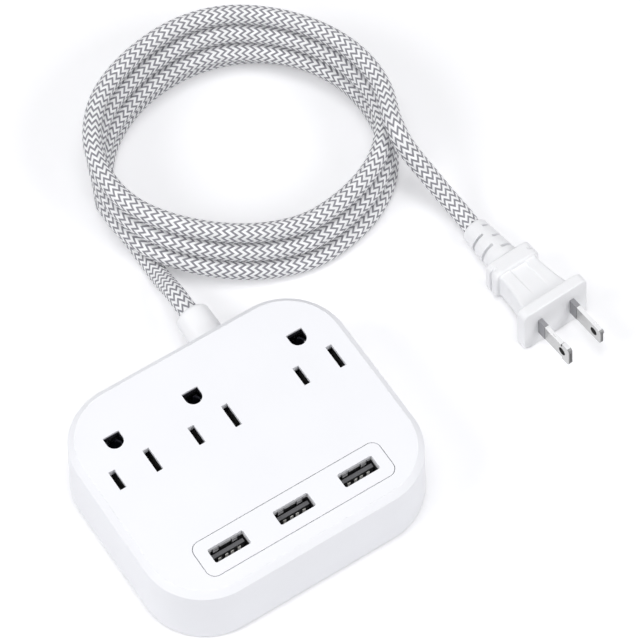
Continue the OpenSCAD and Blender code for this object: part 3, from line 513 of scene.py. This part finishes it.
def sliced(bm, at, normal):
    """Edges where a plane cuts the whole mesh."""
    everything = bm.verts[:] + bm.edges[:] + bm.faces[:]
    bmesh.ops.bisect_plane(bm, geom=everything, plane_co=at, plane_no=normal)


def cut_rings(bm, places):
    for along in places:
        sliced(bm, (along, 0, 0), (1, 0, 0))


def pressed(bm, wanted, move):
    """Faces that are wanted sink in one piece, each point moved by a rule."""
    chosen = [f for f in bm.faces if wanted(f.calc_center_median())]
    made = bmesh.ops.extrude_face_region(bm, geom=chosen)
    bmesh.ops.delete(bm, geom=chosen, context="FACES")
    for item in made["geom"]:
        if isinstance(item, bmesh.types.BMVert):
            item.co = move(item.co)


def sink_round(co):
    r = math.hypot(co.y, co.z)
    k = (r - GROOVE_DEEP) / r
    return Vector((co.x, co.y * k, co.z * k))


def sink_rib(co):
    return Vector((co.x, co.y - math.copysign(RIB_DEEP, co.y), co.z))


def in_groove(along, side):
    """Tells whether a face's middle lies in a groove on one side of the boot."""
    def wanted(c):
        outside = math.hypot(c.y, c.z) > BOOT_CORE
        return abs(c.x - along) < GROOVE_W / 2 and side * c.y > BRIDGE and outside
    return wanted


def in_rib(c):
    return abs(c.x - RIB_MID) < RIB_HALF and abs(c.y) > COLLAR_W / 2 - COLLAR_R


boot = bmesh.new()
bmesh.ops.create_cone(
    boot, cap_ends=True, segments=64, radius1=BOOT_D[0] / 2, radius2=BOOT_D[1] / 2, depth=BOOT_L + 1
)
lay = Matrix.Rotation(math.pi / 2, 3, "Y")
bmesh.ops.rotate(boot, cent=(0, 0, 0), matrix=lay, verts=boot.verts)
bmesh.ops.translate(boot, vec=((BOOT_L + 1) / 2, 0, 0), verts=boot.verts)
rounded(boot, sharp_start, BOOT_EASE, EASE_STEPS)
cut_rings(boot, [u + s * GROOVE_W / 2 for u in LEFT_GROOVES + RIGHT_GROOVES for s in (-1, 1)])
for places, side in ((LEFT_GROOVES, -1), (RIGHT_GROOVES, 1)):
    for along in places:
        pressed(boot, in_groove(along, side), sink_round)
collar = block((COLLAR_L, COLLAR_W, COLLAR_H), ((BOOT_L + COLLAR_END) / 2, 0, 0))
rounded(collar, runs_along, COLLAR_R, ROUND_STEPS)
rounded(collar, sharp_edge, COLLAR_EASE, EASE_STEPS)
cut_rings(collar, (RIB_MID - RIB_HALF, RIB_MID + RIB_HALF))
pressed(collar, in_rib, sink_rib)
grip = block((GRIP_L + 2, GRIP_W[0], GRIP_H), (COLLAR_END + GRIP_L / 2, 0, 0))
rounded(grip, runs_along, GRIP_R, GRIP_STEPS)
cut_rings(grip, [COLLAR_END + GRIP_L * k / GRIP_CUTS for k in range(GRIP_CUTS + 1)])
for vert in grip.verts:
    share = min(1, max(0, (vert.co.x - COLLAR_END) / GRIP_L))
    vert.co.y *= 1 + (GRIP_W[1] / GRIP_W[0] - 1) * share * share
hollows = []
for side in (-1, 1):
    dent = block(HOLLOW, (HOLLOW[0] / 2, 0, side * HOLLOW[2] / 2))
    slope = Matrix.Rotation(-side * HOLLOW_DEEP / HOLLOW[0], 3, "Y")
    bmesh.ops.rotate(dent, cent=(0, 0, 0), matrix=slope, verts=dent.verts)
    floor_at = (COLLAR_END, 0, side * (GRIP_H / 2 - HOLLOW_DEEP))
    bmesh.ops.translate(dent, vec=floor_at, verts=dent.verts)
    hollows.append(dent)
front = block((FRONT_T, FRONT_W, FRONT_H), (GRIP_END + FRONT_T / 2, 0, 0))
rounded(front, runs_along, FRONT_R, ROUND_STEPS)
rounded(front, sharp_edge, FRONT_EASE, EASE_STEPS)


def plain_object(name, bm):
    mesh = bpy.data.meshes.new(name)
    bm.to_mesh(mesh)
    bm.free()
    made = bpy.data.objects.new(name, mesh)
    bpy.context.collection.objects.link(made)
    return made


def dropped(made):
    """Takes an object and its mesh out of the scene."""
    mesh = made.data
    bpy.data.objects.remove(made)
    bpy.data.meshes.remove(mesh)


def applied(made):
    """Takes the result of the object's modifiers as its own mesh."""
    graph = bpy.context.evaluated_depsgraph_get()
    mesh = bpy.data.meshes.new_from_object(made.evaluated_get(graph))
    made.modifiers.clear()
    old = made.data
    made.data = mesh
    bpy.data.meshes.remove(old)


def combined(made, others, operation):
    """Joins or cuts the object with the others, which are used up."""
    for other in others:
        boolean = made.modifiers.new("shape", "BOOLEAN")
        boolean.operation = operation
        boolean.solver = "EXACT"
        boolean.object = other
    applied(made)
    for other in others:
        dropped(other)


moulding = plain_object("plug_moulding", grip)
combined(moulding, [plain_object("dent", dent) for dent in hollows], "DIFFERENCE")
combined(moulding, [plain_object("lump", lump) for lump in (boot, collar, front)], "UNION")
skin = moulding.modifiers.new("skin", "REMESH")
skin.mode = "VOXEL"
skin.voxel_size = SKIN_MESH
skin.use_smooth_shade = True
ease_off = moulding.modifiers.new("ease_off", "SMOOTH")
ease_off.factor = 0.5
ease_off.iterations = 1
applied(moulding)
bm = bmesh.new()
bm.from_mesh(moulding.data)
bmesh.ops.transform(bm, matrix=on_plug, verts=bm.verts)
for vert in bm.verts:
    vert.co.z = max(0.0, vert.co.z)
dropped(moulding)
plug = piece("plug_moulding", bm, soft_white, "plug_body")

# Blades: two flat pins of nickel-plated strip folded double, each with a hole near its tip. The
# neutral one is wider at the tip. A dark sleeve covers each root, so that no live metal shows. The
# hole's wall, the fold's gap and the notch are painted near black as shade, and the top and bottom
# edges and the unsheared end faces of each tip are painted bright as a highlight.
BLADE_L = 15.9
BLADE_T = 1.5
BLADE_W = 6.35
BLADE_GAP = 12.7
BLADE_TIP = PLUG_FACE + BLADE_L
BLADE_EASE = 0.07
HOLE_D = 3.0
HOLE_IN = 3.6
HOLE_FACE = 2.0
TIP_L = 3.6
FOLD = (1.0, 0.25, 4.6)
FOLD_SHIFT = (0.1, -0.2)
NOTCH = (0.5, 3.0, 1.7)
NOTCH_OUT = 0.3
SHEARED_SIDE = 0.2
SHEARED_TOP = 1.5
HUG = 0.08
HUG_FROM = 0.12
PLAIN, HOLE_SHADE, EDGE_HIGHLIGHT, SHEARED = range(4)


def metal(name, colour, rough, lines, stretch, share=1.0):
    """Plated strip: bright metal with the fine lines of its rolling and a little tarnish."""
    material, tree, bsdf = shader(name)
    place = wire(tree, "ShaderNodeTexCoord").outputs["Object"]
    drawn = wire(tree, "ShaderNodeMapping", {0: place, 3: stretch})
    line = noise(tree, drawn.outputs[0], lines, 4.0)
    stain = noise(tree, place, 160.0, 3.0)
    dark = tuple(c * 0.82 for c in colour) + (1,)
    tree.links.new(mixed(tree, stain, dark, colour + (1,)), bsdf.inputs["Base Color"])
    bsdf.inputs["Metallic"].default_value = share
    gloss = wire(tree, "ShaderNodeMapRange", {0: line, 3: rough - 0.08, 4: rough + 0.1})
    tree.links.new(gloss.outputs[0], bsdf.inputs["Roughness"])
    embossed(tree, bsdf, line, 0.25, GRAIN_DEPTH)
    return material


def bevelled(made, width, degrees):
    edge = made.modifiers.new("edge", "BEVEL")
    edge.width = width * MM
    edge.segments = 2
    edge.limit_method = "ANGLE"
    edge.angle_limit = math.radians(degrees)


def softened(node, width, material):
    """A copy of a solid with its edges eased, which stands for it."""
    bm = bmesh.new()
    bm.from_mesh(nodes[node].data)
    bmesh.ops.remove_doubles(bm, verts=bm.verts, dist=0.000001)
    bmesh.ops.dissolve_limit(
        bm, angle_limit=math.radians(0.4), verts=bm.verts, edges=bm.edges,
        use_dissolve_boundaries=False,
    )
    made = piece(node + "_dressed", bm, material, node)
    if width:
        bevelled(made, width, 35)
        even_out = made.modifiers.new("even_out", "WEIGHTED_NORMAL")
        even_out.keep_sharp = True
        even_out.weight = 100
    return made


nickel = metal("nickel", (0.58, 0.58, 0.575), 0.20, 700.0, (1, 0.12, 1))
# A bright copy of the nickel: a painted highlight on the blades' top and bottom edges and tip ends.
edge_highlight = metal("painted_edge_highlight", (0.97, 0.97, 0.97), 0.28, 700.0, (1, 0.12, 1), 0.7)
sheared = metal("sheared_end", (0.24, 0.24, 0.24), 0.45, 900.0, (1, 1, 1), 0.8)
# Near black: painted shade in the blades' holes, fold gaps and notches.
hole_shade = metal("painted_hole_shade", (0.02, 0.02, 0.02), 0.6, 900.0, (1, 1, 1), 0.3)
sleeve_grey = plastic("sleeve_grey", (0.29, 0.29, 0.305), 0.5, 3000.0, tone=0.08)
off_plug = on_plug.inverted()


def plug_cutter(size, at):
    """A block on the plug whose cut walls are painted near black as shade."""
    bm = block(size, at)
    for face in bm.faces:
        face.material_index = HOLE_SHADE
    bmesh.ops.transform(bm, matrix=on_plug, verts=bm.verts)
    return plain_object("cutter", bm)


def folded_blade(node, across, notches):
    """A blade with its fold's gap in the tip, a notch behind a wide tip and a hole, all in painted
    shade.
    """
    made = softened(node, 0, nickel)
    for finish in (hole_shade, edge_highlight, sheared):
        made.data.materials.append(finish)
    cutters = [plug_cutter(FOLD, (BLADE_TIP, across + FOLD_SHIFT[0], FOLD_SHIFT[1]))]
    for side in notches:
        behind = BLADE_TIP - TIP_L - NOTCH[0] / 2
        cutters.append(plug_cutter(NOTCH, (behind, across, side * (BLADE_W + NOTCH_OUT) / 2)))
    combined(made, cutters, "DIFFERENCE")
    hole = Vector((BLADE_TIP - HOLE_IN, across, 0))
    # Painted shade on the hole's wall, painted highlight on the edges and the tip's unsheared end.
    for face in made.data.polygons:
        way = off_plug @ face.center - hole
        facing = off_plug.to_3x3() @ face.normal
        facing.normalize()
        if math.hypot(way.x, way.z) < HOLE_D / 2 and face.area < HOLE_FACE * MM * MM:
            face.material_index = HOLE_SHADE
        elif face.material_index == PLAIN and facing.x > 0.3:
            torn = way.y < SHEARED_SIDE or way.z > SHEARED_TOP
            face.material_index = SHEARED if torn else EDGE_HIGHLIGHT
        elif face.material_index == PLAIN and abs(facing.z) > 0.7:
            face.material_index = EDGE_HIGHLIGHT
    sharpen(made)
    bevelled(made, BLADE_EASE, 50)
    return made


def hugging_sleeve(node, across):
    """A sleeve that lies close on its blade."""
    made = softened(node, 0, sleeve_grey)
    for vert in made.data.vertices:
        at = off_plug @ vert.co
        if abs(at.y - across) > BLADE_T / 2 + HUG_FROM:
            at.y = across + math.copysign(BLADE_T / 2 + HUG, at.y - across)
        if abs(at.z) > BLADE_W / 2 + HUG_FROM:
            at.z = math.copysign(BLADE_W / 2 + HUG, at.z)
        vert.co = on_plug @ at
    sharpen(made)
    return made


def dress(material, *names):
    """Gives solids that keep their shape a finish of their own."""
    for name in names:
        nodes[name].material_slots[0].material = material


hot_blade = folded_blade("hot_blade", BLADE_GAP / 2, ())
neutral_blade = folded_blade("neutral_blade", -BLADE_GAP / 2, (1,))
hot_sleeve = hugging_sleeve("hot_sleeve", BLADE_GAP / 2)
neutral_sleeve = hugging_sleeve("neutral_sleeve", -BLADE_GAP / 2)
dress(plastic("bridge_cream", (0.78, 0.76, 0.68), 0.5, 2500.0), "plug_bridge")

# Contacts: three brass strips lie on an insulating plate under the top. Clips pinch the blades, and
# slit tubes take the earth pins. They show only as glints deep in the slots. The brass is painted
# dark as shade, the earth strip near black as shade, and the upward faces at the front of its tubes'
# tops bright as a painted highlight.
EARTH_Y = 22.4
RIM_Z = 22.9
# Brass darkened as painted shade, since it lies deep in the slots.
shaded_brass = metal("brass_painted_shade", (0.13, 0.125, 0.12), 0.4, 900.0, (0.15, 1, 1), 0.7)
nylon = plastic("nylon", (0.035, 0.037, 0.045), 0.5, 2200.0)
# Near black: painted shade on the earth strip; bright: a painted highlight on its tubes' tops.
earth_strip_shade = metal("earth_strip_shade", (0.012, 0.013, 0.022), 0.5, 900.0, (0.15, 1, 1), 0.4)
earth_rim_highlight = metal("earth_rim_highlight", (0.95, 0.95, 0.97), 0.4, 900.0, (0.15, 1, 1), 0.6)
dress(shaded_brass, "hot_bus", "neutral_bus")
dress(nylon, "contact_holder")
earth = softened("earth_strip", 0, earth_strip_shade)
earth.data.materials.append(earth_rim_highlight)
bm = bmesh.new()
bm.from_mesh(earth.data)
sliced(bm, (0, EARTH_Y * MM, 0), (0, 1, 0))
# Upward faces at the front of the tubes' tops get the painted highlight.
for face in bm.faces:
    at = face.calc_center_median() / MM
    if face.normal.z > 0.7 and at.z > RIM_Z and at.y < EARTH_Y:
        face.material_index = 1
bm.to_mesh(earth.data)
bm.free()
sharpen(earth)

# Charger board: a lacquered board on four posts with the parts that make the ports' 5 V. All of it
# is closed in, but each part has its own finish.
zinc = metal("zinc", (0.62, 0.62, 0.64), 0.35, 800.0, (1, 1, 0.2))
ferrite = plastic("ferrite", (0.07, 0.07, 0.075), 0.55, 1500.0, 0.00004, 0.1)
tape = plastic("tape_yellow", (0.72, 0.55, 0.10), 0.35, 700.0, tone=0.06)
can_sleeve = plastic("can_sleeve", (0.03, 0.035, 0.12), 0.3, 900.0, tone=0.1)
fuse_brown = plastic("fuse_brown", (0.20, 0.05, 0.04), 0.4, 1500.0, tone=0.08)
disc_blue = plastic("disc_blue", (0.04, 0.10, 0.38), 0.3, 800.0, 0.00003, 0.08)
chip_black = plastic("chip_black", (0.02, 0.02, 0.022), 0.5, 3500.0, tone=0.1)
wire_black = plastic("wire_black", (0.02, 0.02, 0.022), 0.4, 1200.0, tone=0.1)
wire_white = plastic("wire_white", (0.80, 0.80, 0.80), 0.4, 1200.0)


def lacquer(name, colour, track):
    """Lacquered board: paler tracks under a green coat."""
    material, tree, bsdf = shader(name)
    place = wire(tree, "ShaderNodeTexCoord").outputs["Object"]
    cells = wire(tree, "ShaderNodeTexBrick", {0: place, "Scale": 160.0, "Mortar Size": 0.06})
    cells.inputs["Color1"].default_value = colour + (1,)
    cells.inputs["Color2"].default_value = tuple(c * 0.85 for c in colour) + (1,)
    cells.inputs["Mortar"].default_value = track + (1,)
    tree.links.new(cells.outputs[0], bsdf.inputs["Base Color"])
    bsdf.inputs["Roughness"].default_value = 0.3
    embossed(tree, bsdf, cells.outputs[1], 0.2, 0.00003)
    return material


dress(lacquer("board_green", (0.03, 0.16, 0.06), (0.10, 0.30, 0.13)), "usb_board")
dress(zinc, "board_screws")
dress(ferrite, "transformer_core")
dress(tape, "transformer_bobbin")
dress(can_sleeve, "bulk_capacitor", "output_capacitor")
dress(fuse_brown, "fuse")
dress(disc_blue, "surge_disc")
dress(chip_black, "rectifier", "control_chip")
dress(wire_black, "live_wire", "board_live_wire")
dress(wire_white, "neutral_wire", "board_neutral_wire")

# USB ports: each is a folded steel shell with two spring tabs, a grey plastic tongue in it and four
# gilt contact strips on the tongue's front, whitened as a painted highlight. The shells' far walls
# below the tabs and the tongue's front face are painted dark as shade.
SIDES = ("left", "middle", "right")
USB_X = (-23.4, 0.0, 23.4)
USB_Y = -27.3
TAB_X = 3.4
TAB_HALF = 1.2
TAB = (1.9, 0.5, 1.2)
TAB_BACK = 2.6
TAB_FRONT = 2.5
TAB_Z = 24.2
TAB_LOW = 23.7
TAB_MARGIN = 0.1
SLIT = (0.7, 1.2, 2.4)
SLIT_BACK = 2.8
SLIT_Z = 24.8
SHADE_CUT = 24.85
SHADE_BELOW = 24.8
NEAR_WALL = 1
TIP_ZONE = 24.4
TONGUE_BACK = 1
TONGUE_DROP = 0.5
TONGUE_THIN = 0.5
STRIP_DROP = 1.3
port_steel = metal("port_steel", (0.92, 0.92, 0.93), 0.5, 900.0, (1, 1, 0.15), 0.3)
# A near-black copy of the steel: painted shade deep in the ports.
port_steel_shade = metal("port_steel_shade", (0.05, 0.05, 0.052), 0.5, 900.0, (1, 1, 0.15), 0.3)
tongue_grey = plastic("tongue_grey", (0.085, 0.085, 0.09), 0.5, 2500.0, tone=0.06)
# Near black: painted shade on the tongue's front face.
tongue_front_shade = plastic("tongue_front_shade", (0.008, 0.008, 0.009), 0.6, 2500.0, tone=0.06)
# Gilt whitened and not metallic: a painted highlight on strips that lie in shade.
gilt_and_highlight = metal("gilt_and_highlight", (1.0, 0.985, 0.92), 0.5, 900.0, (1, 1, 0.2), 0.0)


def blocks_at(name, size, places):
    """Blocks of one size about places on the housing."""
    made = []
    for at in places:
        made.append(plain_object(name, block([c * MM for c in size], [c * MM for c in at])))
    return made


def in_port_shade(at, x):
    """Tells whether a face's middle lies deep in the port at x, off the tabs and the near wall:
    painted shade.
    """
    over_tab = abs(abs(at.x - x) - TAB_X) < TAB[0] / 2 + TAB_MARGIN
    on_tab = over_tab and at.z > TAB_LOW and at.y < USB_Y + TAB_FRONT
    return at.z < SHADE_BELOW and at.y > USB_Y - NEAR_WALL and not on_tab


for side, x in zip(SIDES, USB_X):
    shell = softened("usb_shell_" + side, 0, port_steel)
    tab_mids = (x - TAB_X, x + TAB_X)
    slit_mids = [mid + half for mid in tab_mids for half in (-TAB_HALF, TAB_HALF)]
    slits = blocks_at("slit", SLIT, [(at, USB_Y + SLIT_BACK, SLIT_Z) for at in slit_mids])
    combined(shell, slits, "DIFFERENCE")
    tabs = blocks_at("tab", TAB, [(at, USB_Y + TAB_BACK, TAB_Z) for at in tab_mids])
    combined(shell, tabs, "UNION")
    shell.data.materials.append(port_steel_shade)
    bm = bmesh.new()
    bm.from_mesh(shell.data)
    sliced(bm, (0, 0, SHADE_CUT * MM), (0, 0, 1))
    for face in bm.faces:
        face.material_index = 1 if in_port_shade(face.calc_center_median() / MM, x) else 0
    bm.to_mesh(shell.data)
    bm.free()
    sharpen(shell)
    tongue = softened("usb_tongue_" + side, 0.2, tongue_grey)
    tongue.data.materials.append(tongue_front_shade)
    for vert in tongue.data.vertices:
        if vert.co.z > TIP_ZONE * MM:
            vert.co.z -= TONGUE_DROP * MM
            vert.co.y -= TONGUE_THIN * MM if vert.co.y > (USB_Y + TONGUE_BACK) * MM else 0
    # The tongue's front faces get the painted shade.
    for face in tongue.data.polygons:
        face.material_index = 1 if face.normal.y < -0.5 else 0
    strips = softened("usb_contacts_" + side, 0, gilt_and_highlight)
    sharpen(strips)
    for vert in strips.data.vertices:
        if vert.co.z > TIP_ZONE * MM:
            vert.co.z -= STRIP_DROP * MM

# USB panel: a separate white plate let into the top, flush with it, with a fine gap all round. Its
# mouths have softly broken edges.
PANEL_TOP = 24.85
PANEL_ARC = (30.7, 3.5)
ARC_MARGIN = 0.2
PANEL_GAP = 0.04
gloss_white = plastic("gloss_white", (0.915, 0.92, 0.948), 0.42, 3200.0, 0.000015)
gloss_white.node_tree.nodes["Principled BSDF"].inputs["Specular IOR Level"].default_value = 0.35


def clamped(value, limit):
    return max(-limit, min(limit, value))


panel = softened("usb_panel", 0.4, gloss_white)
for vert in panel.data.vertices:
    dx, dy = vert.co.x / MM, vert.co.y / MM - USB_Y
    at_rim = abs(dx) > PANEL_ARC[0] - ARC_MARGIN or abs(dy) > PANEL_ARC[1] - ARC_MARGIN
    if vert.co.z > PANEL_TOP * MM and at_rim:
        out = Vector((dx - clamped(dx, PANEL_ARC[0]), dy - clamped(dy, PANEL_ARC[1]), 0))
        vert.co -= out.normalized() * PANEL_GAP * MM

# Top cover: the white shell, moulded in one with its bosses. Sides lean in a little, the edge round
# the top is a narrow slope with soft borders, and the slots' edges are only just broken.
CORE = (27.8, 19.8)
EDGE_MID = (18.4, 24.9)
EDGE_R = 2.5
EDGE_SLACK = 0.05
SLOPE = 2.1
SLOPE_FROM = math.radians(15)
SLOPE_TO = math.radians(75)
OUTLET_X = (-33.5, -5.0, 33.5)
OUTLET_Y = 10.5
SLOT_ZONE = (7.6, 4.5)
SLOT_LIP = 26.0
EARTH_ZONE = (3.0, 19.5, 25.2)
EARTH_LIP = 26.6
ROOF = (24.8, 27.4)


def edge_place(co):
    """The turn of a point of the round edge, its spot on the core and its way out, or none."""
    flat = Vector((co.x, co.y, 0)) / MM
    core = Vector((clamped(flat.x, CORE[0]), clamped(flat.y, CORE[1]), 0))
    over = flat - core
    across, up = over.length - EDGE_MID[0], co.z / MM - EDGE_MID[1]
    if across < -0.01 or up < -0.2 or abs(math.hypot(across, up) - EDGE_R) > EDGE_SLACK:
        return None
    return math.atan2(across, up), core, over.normalized()


def painted_shade_lip(face):
    """How far up a wall of an outlet's hole is painted dark as shade, or none for any other face."""
    at = face.calc_center_median() / MM
    if abs(face.normal.z) > 0.3 or not ROOF[0] < at.z < ROOF[1]:
        return None
    for x in OUTLET_X:
        near_slot = abs(at.x - x) < SLOT_ZONE[0] and abs(at.y - OUTLET_Y) < SLOT_ZONE[1]
        if near_slot and abs(face.normal.x) > 0.7:
            return SLOT_LIP
        if abs(at.x - x) < EARTH_ZONE[0] and EARTH_ZONE[1] < at.y < EARTH_ZONE[2]:
            return EARTH_LIP
    return None


cover = softened("top_cover", 0.2, gloss_white)
cover.data.materials.append(plastic("slot_shade", (0.012, 0.012, 0.017), 0.6, 2200.0))
edge_points = [(vert, edge_place(vert.co)) for vert in cover.data.vertices]
edge_points = [(vert, place) for vert, place in edge_points if place]
edge_turns = [place[0] for vert, place in edge_points]
first_turn = min(edge_turns, key=lambda turn: abs(turn - SLOPE_FROM))
last_turn = min(edge_turns, key=lambda turn: abs(turn - SLOPE_TO))
for vert, (turn, core, way) in edge_points:
    share = (turn - first_turn) / (last_turn - first_turn)
    if share > 1.001:
        continue
    if share < 0.001:
        across, down = (EDGE_R - SLOPE) * turn / first_turn, 0
    else:
        across, down = EDGE_R - SLOPE + SLOPE * share, SLOPE * share
    spot = core + way * (EDGE_MID[0] + across)
    vert.co = Vector((spot.x, spot.y, EDGE_MID[1] + EDGE_R - down)) * MM
# The walls of the outlets' holes are painted near black below their lips, as shade.
bm = bmesh.new()
bm.from_mesh(cover.data)
for lip in (SLOT_LIP, EARTH_LIP):
    walls = [f for f in bm.faces if painted_shade_lip(f) == lip]
    edges = {e for f in walls for e in f.edges}
    corners = {v for f in walls for v in f.verts}
    bmesh.ops.bisect_plane(
        bm, geom=walls + list(edges) + list(corners), plane_co=(0, 0, lip * MM), plane_no=(0, 0, 1)
    )
for face in bm.faces:
    lip = painted_shade_lip(face)
    if lip and face.calc_center_median().z < lip * MM:
        face.material_index = 1
bm.to_mesh(cover.data)
bm.free()

# Base cover with its screws and feet: a matt plate that closes the shell from below. Four cross-head
# screws pull it against the bosses, and four rubber feet are glued in round seats.
SCREW_AT = ((-39.5, -12.0), (39.5, -12.0), (-30.0, 33.5), (30.0, 33.5))
BASE_Z = 1.0
CROSS = (0.75, 2.8, 1.8)
matt_white = plastic("matt_white", (0.80, 0.80, 0.815), 0.55, 2000.0, 0.00004)
foot_rubber = plastic("foot_rubber", (0.09, 0.09, 0.095), 0.75, 1400.0, 0.00005, 0.08)
softened("base_cover", 0.2, matt_white)
screws = softened("housing_screws", 0, zinc)
crosses = []
for x, y in SCREW_AT:
    for size in (CROSS, (CROSS[1], CROSS[0], CROSS[2])):
        crosses += blocks_at("arm", size, [(x, y, BASE_Z)])
combined(screws, crosses, "DIFFERENCE")
sharpen(screws)
feet = softened("rubber_feet", 0, foot_rubber)
sharpen(feet, 40)

# Studio: a wide white table top and soft light from above and in front. What the camera and the
# reflections see of the room is white, and the shadow stays.
TABLE_HALF = 3
TABLE = (0.88, 0.88, 0.895, 1)
TABLE_GLOW = 0.2
ROOM = (0.97, 0.975, 1.0, 1)
ROOM_LIGHT = 0.38
ROOM_GLOW = 0.62
MIDDLE = (0.03, 0.05, 0.01)


def seen_rays(tree):
    """One for what the camera sees, also in reflections and through clear things, and zero else."""
    path = wire(tree, "ShaderNodeLightPath")
    seen = sums(tree, "MAXIMUM", path.outputs["Is Camera Ray"], path.outputs["Is Glossy Ray"])
    return sums(tree, "MAXIMUM", seen, path.outputs["Is Transmission Ray"])


def lamp(name, at, size, power):
    """A round soft lamp that looks at the middle of the part."""
    data = bpy.data.lights.new(name, "AREA")
    data.shape = "DISK"
    data.size = size
    data.energy = power
    made = bpy.data.objects.new(name, data)
    made.location = at
    made.rotation_euler = (Vector(MIDDLE) - Vector(at)).to_track_quat("-Z", "Y").to_euler()
    bpy.context.collection.objects.link(made)


floor_bm = bmesh.new()
bmesh.ops.create_grid(floor_bm, x_segments=1, y_segments=1, size=TABLE_HALF)
floor = plain_object("table_top", floor_bm)
paper, tree, bsdf = shader("white_table")
bsdf.inputs["Base Color"].default_value = TABLE
bsdf.inputs["Roughness"].default_value = 1.0
bsdf.inputs["Specular IOR Level"].default_value = 0.0
bsdf.inputs["Emission Color"].default_value = (1, 1, 1, 1)
tree.links.new(sums(tree, "MULTIPLY", seen_rays(tree), TABLE_GLOW), bsdf.inputs["Emission Strength"])
floor.data.materials.append(paper)

world = bpy.data.worlds.new("studio")
bpy.context.scene.world = world
world.use_nodes = True
tree = world.node_tree
room = tree.nodes["Background"]
room.inputs["Color"].default_value = ROOM
glow = sums(tree, "MULTIPLY_ADD", seen_rays(tree), ROOM_GLOW, ROOM_LIGHT)
tree.links.new(glow, room.inputs["Strength"])
lamp("left", (-1.0, 0.2, 0.9), 0.7, 6.0)
lamp("front", (0.65, -0.95, 1.0), 0.7, 6.2)
lamp("above", (-0.1, -0.1, 1.5), 0.8, 6.9)
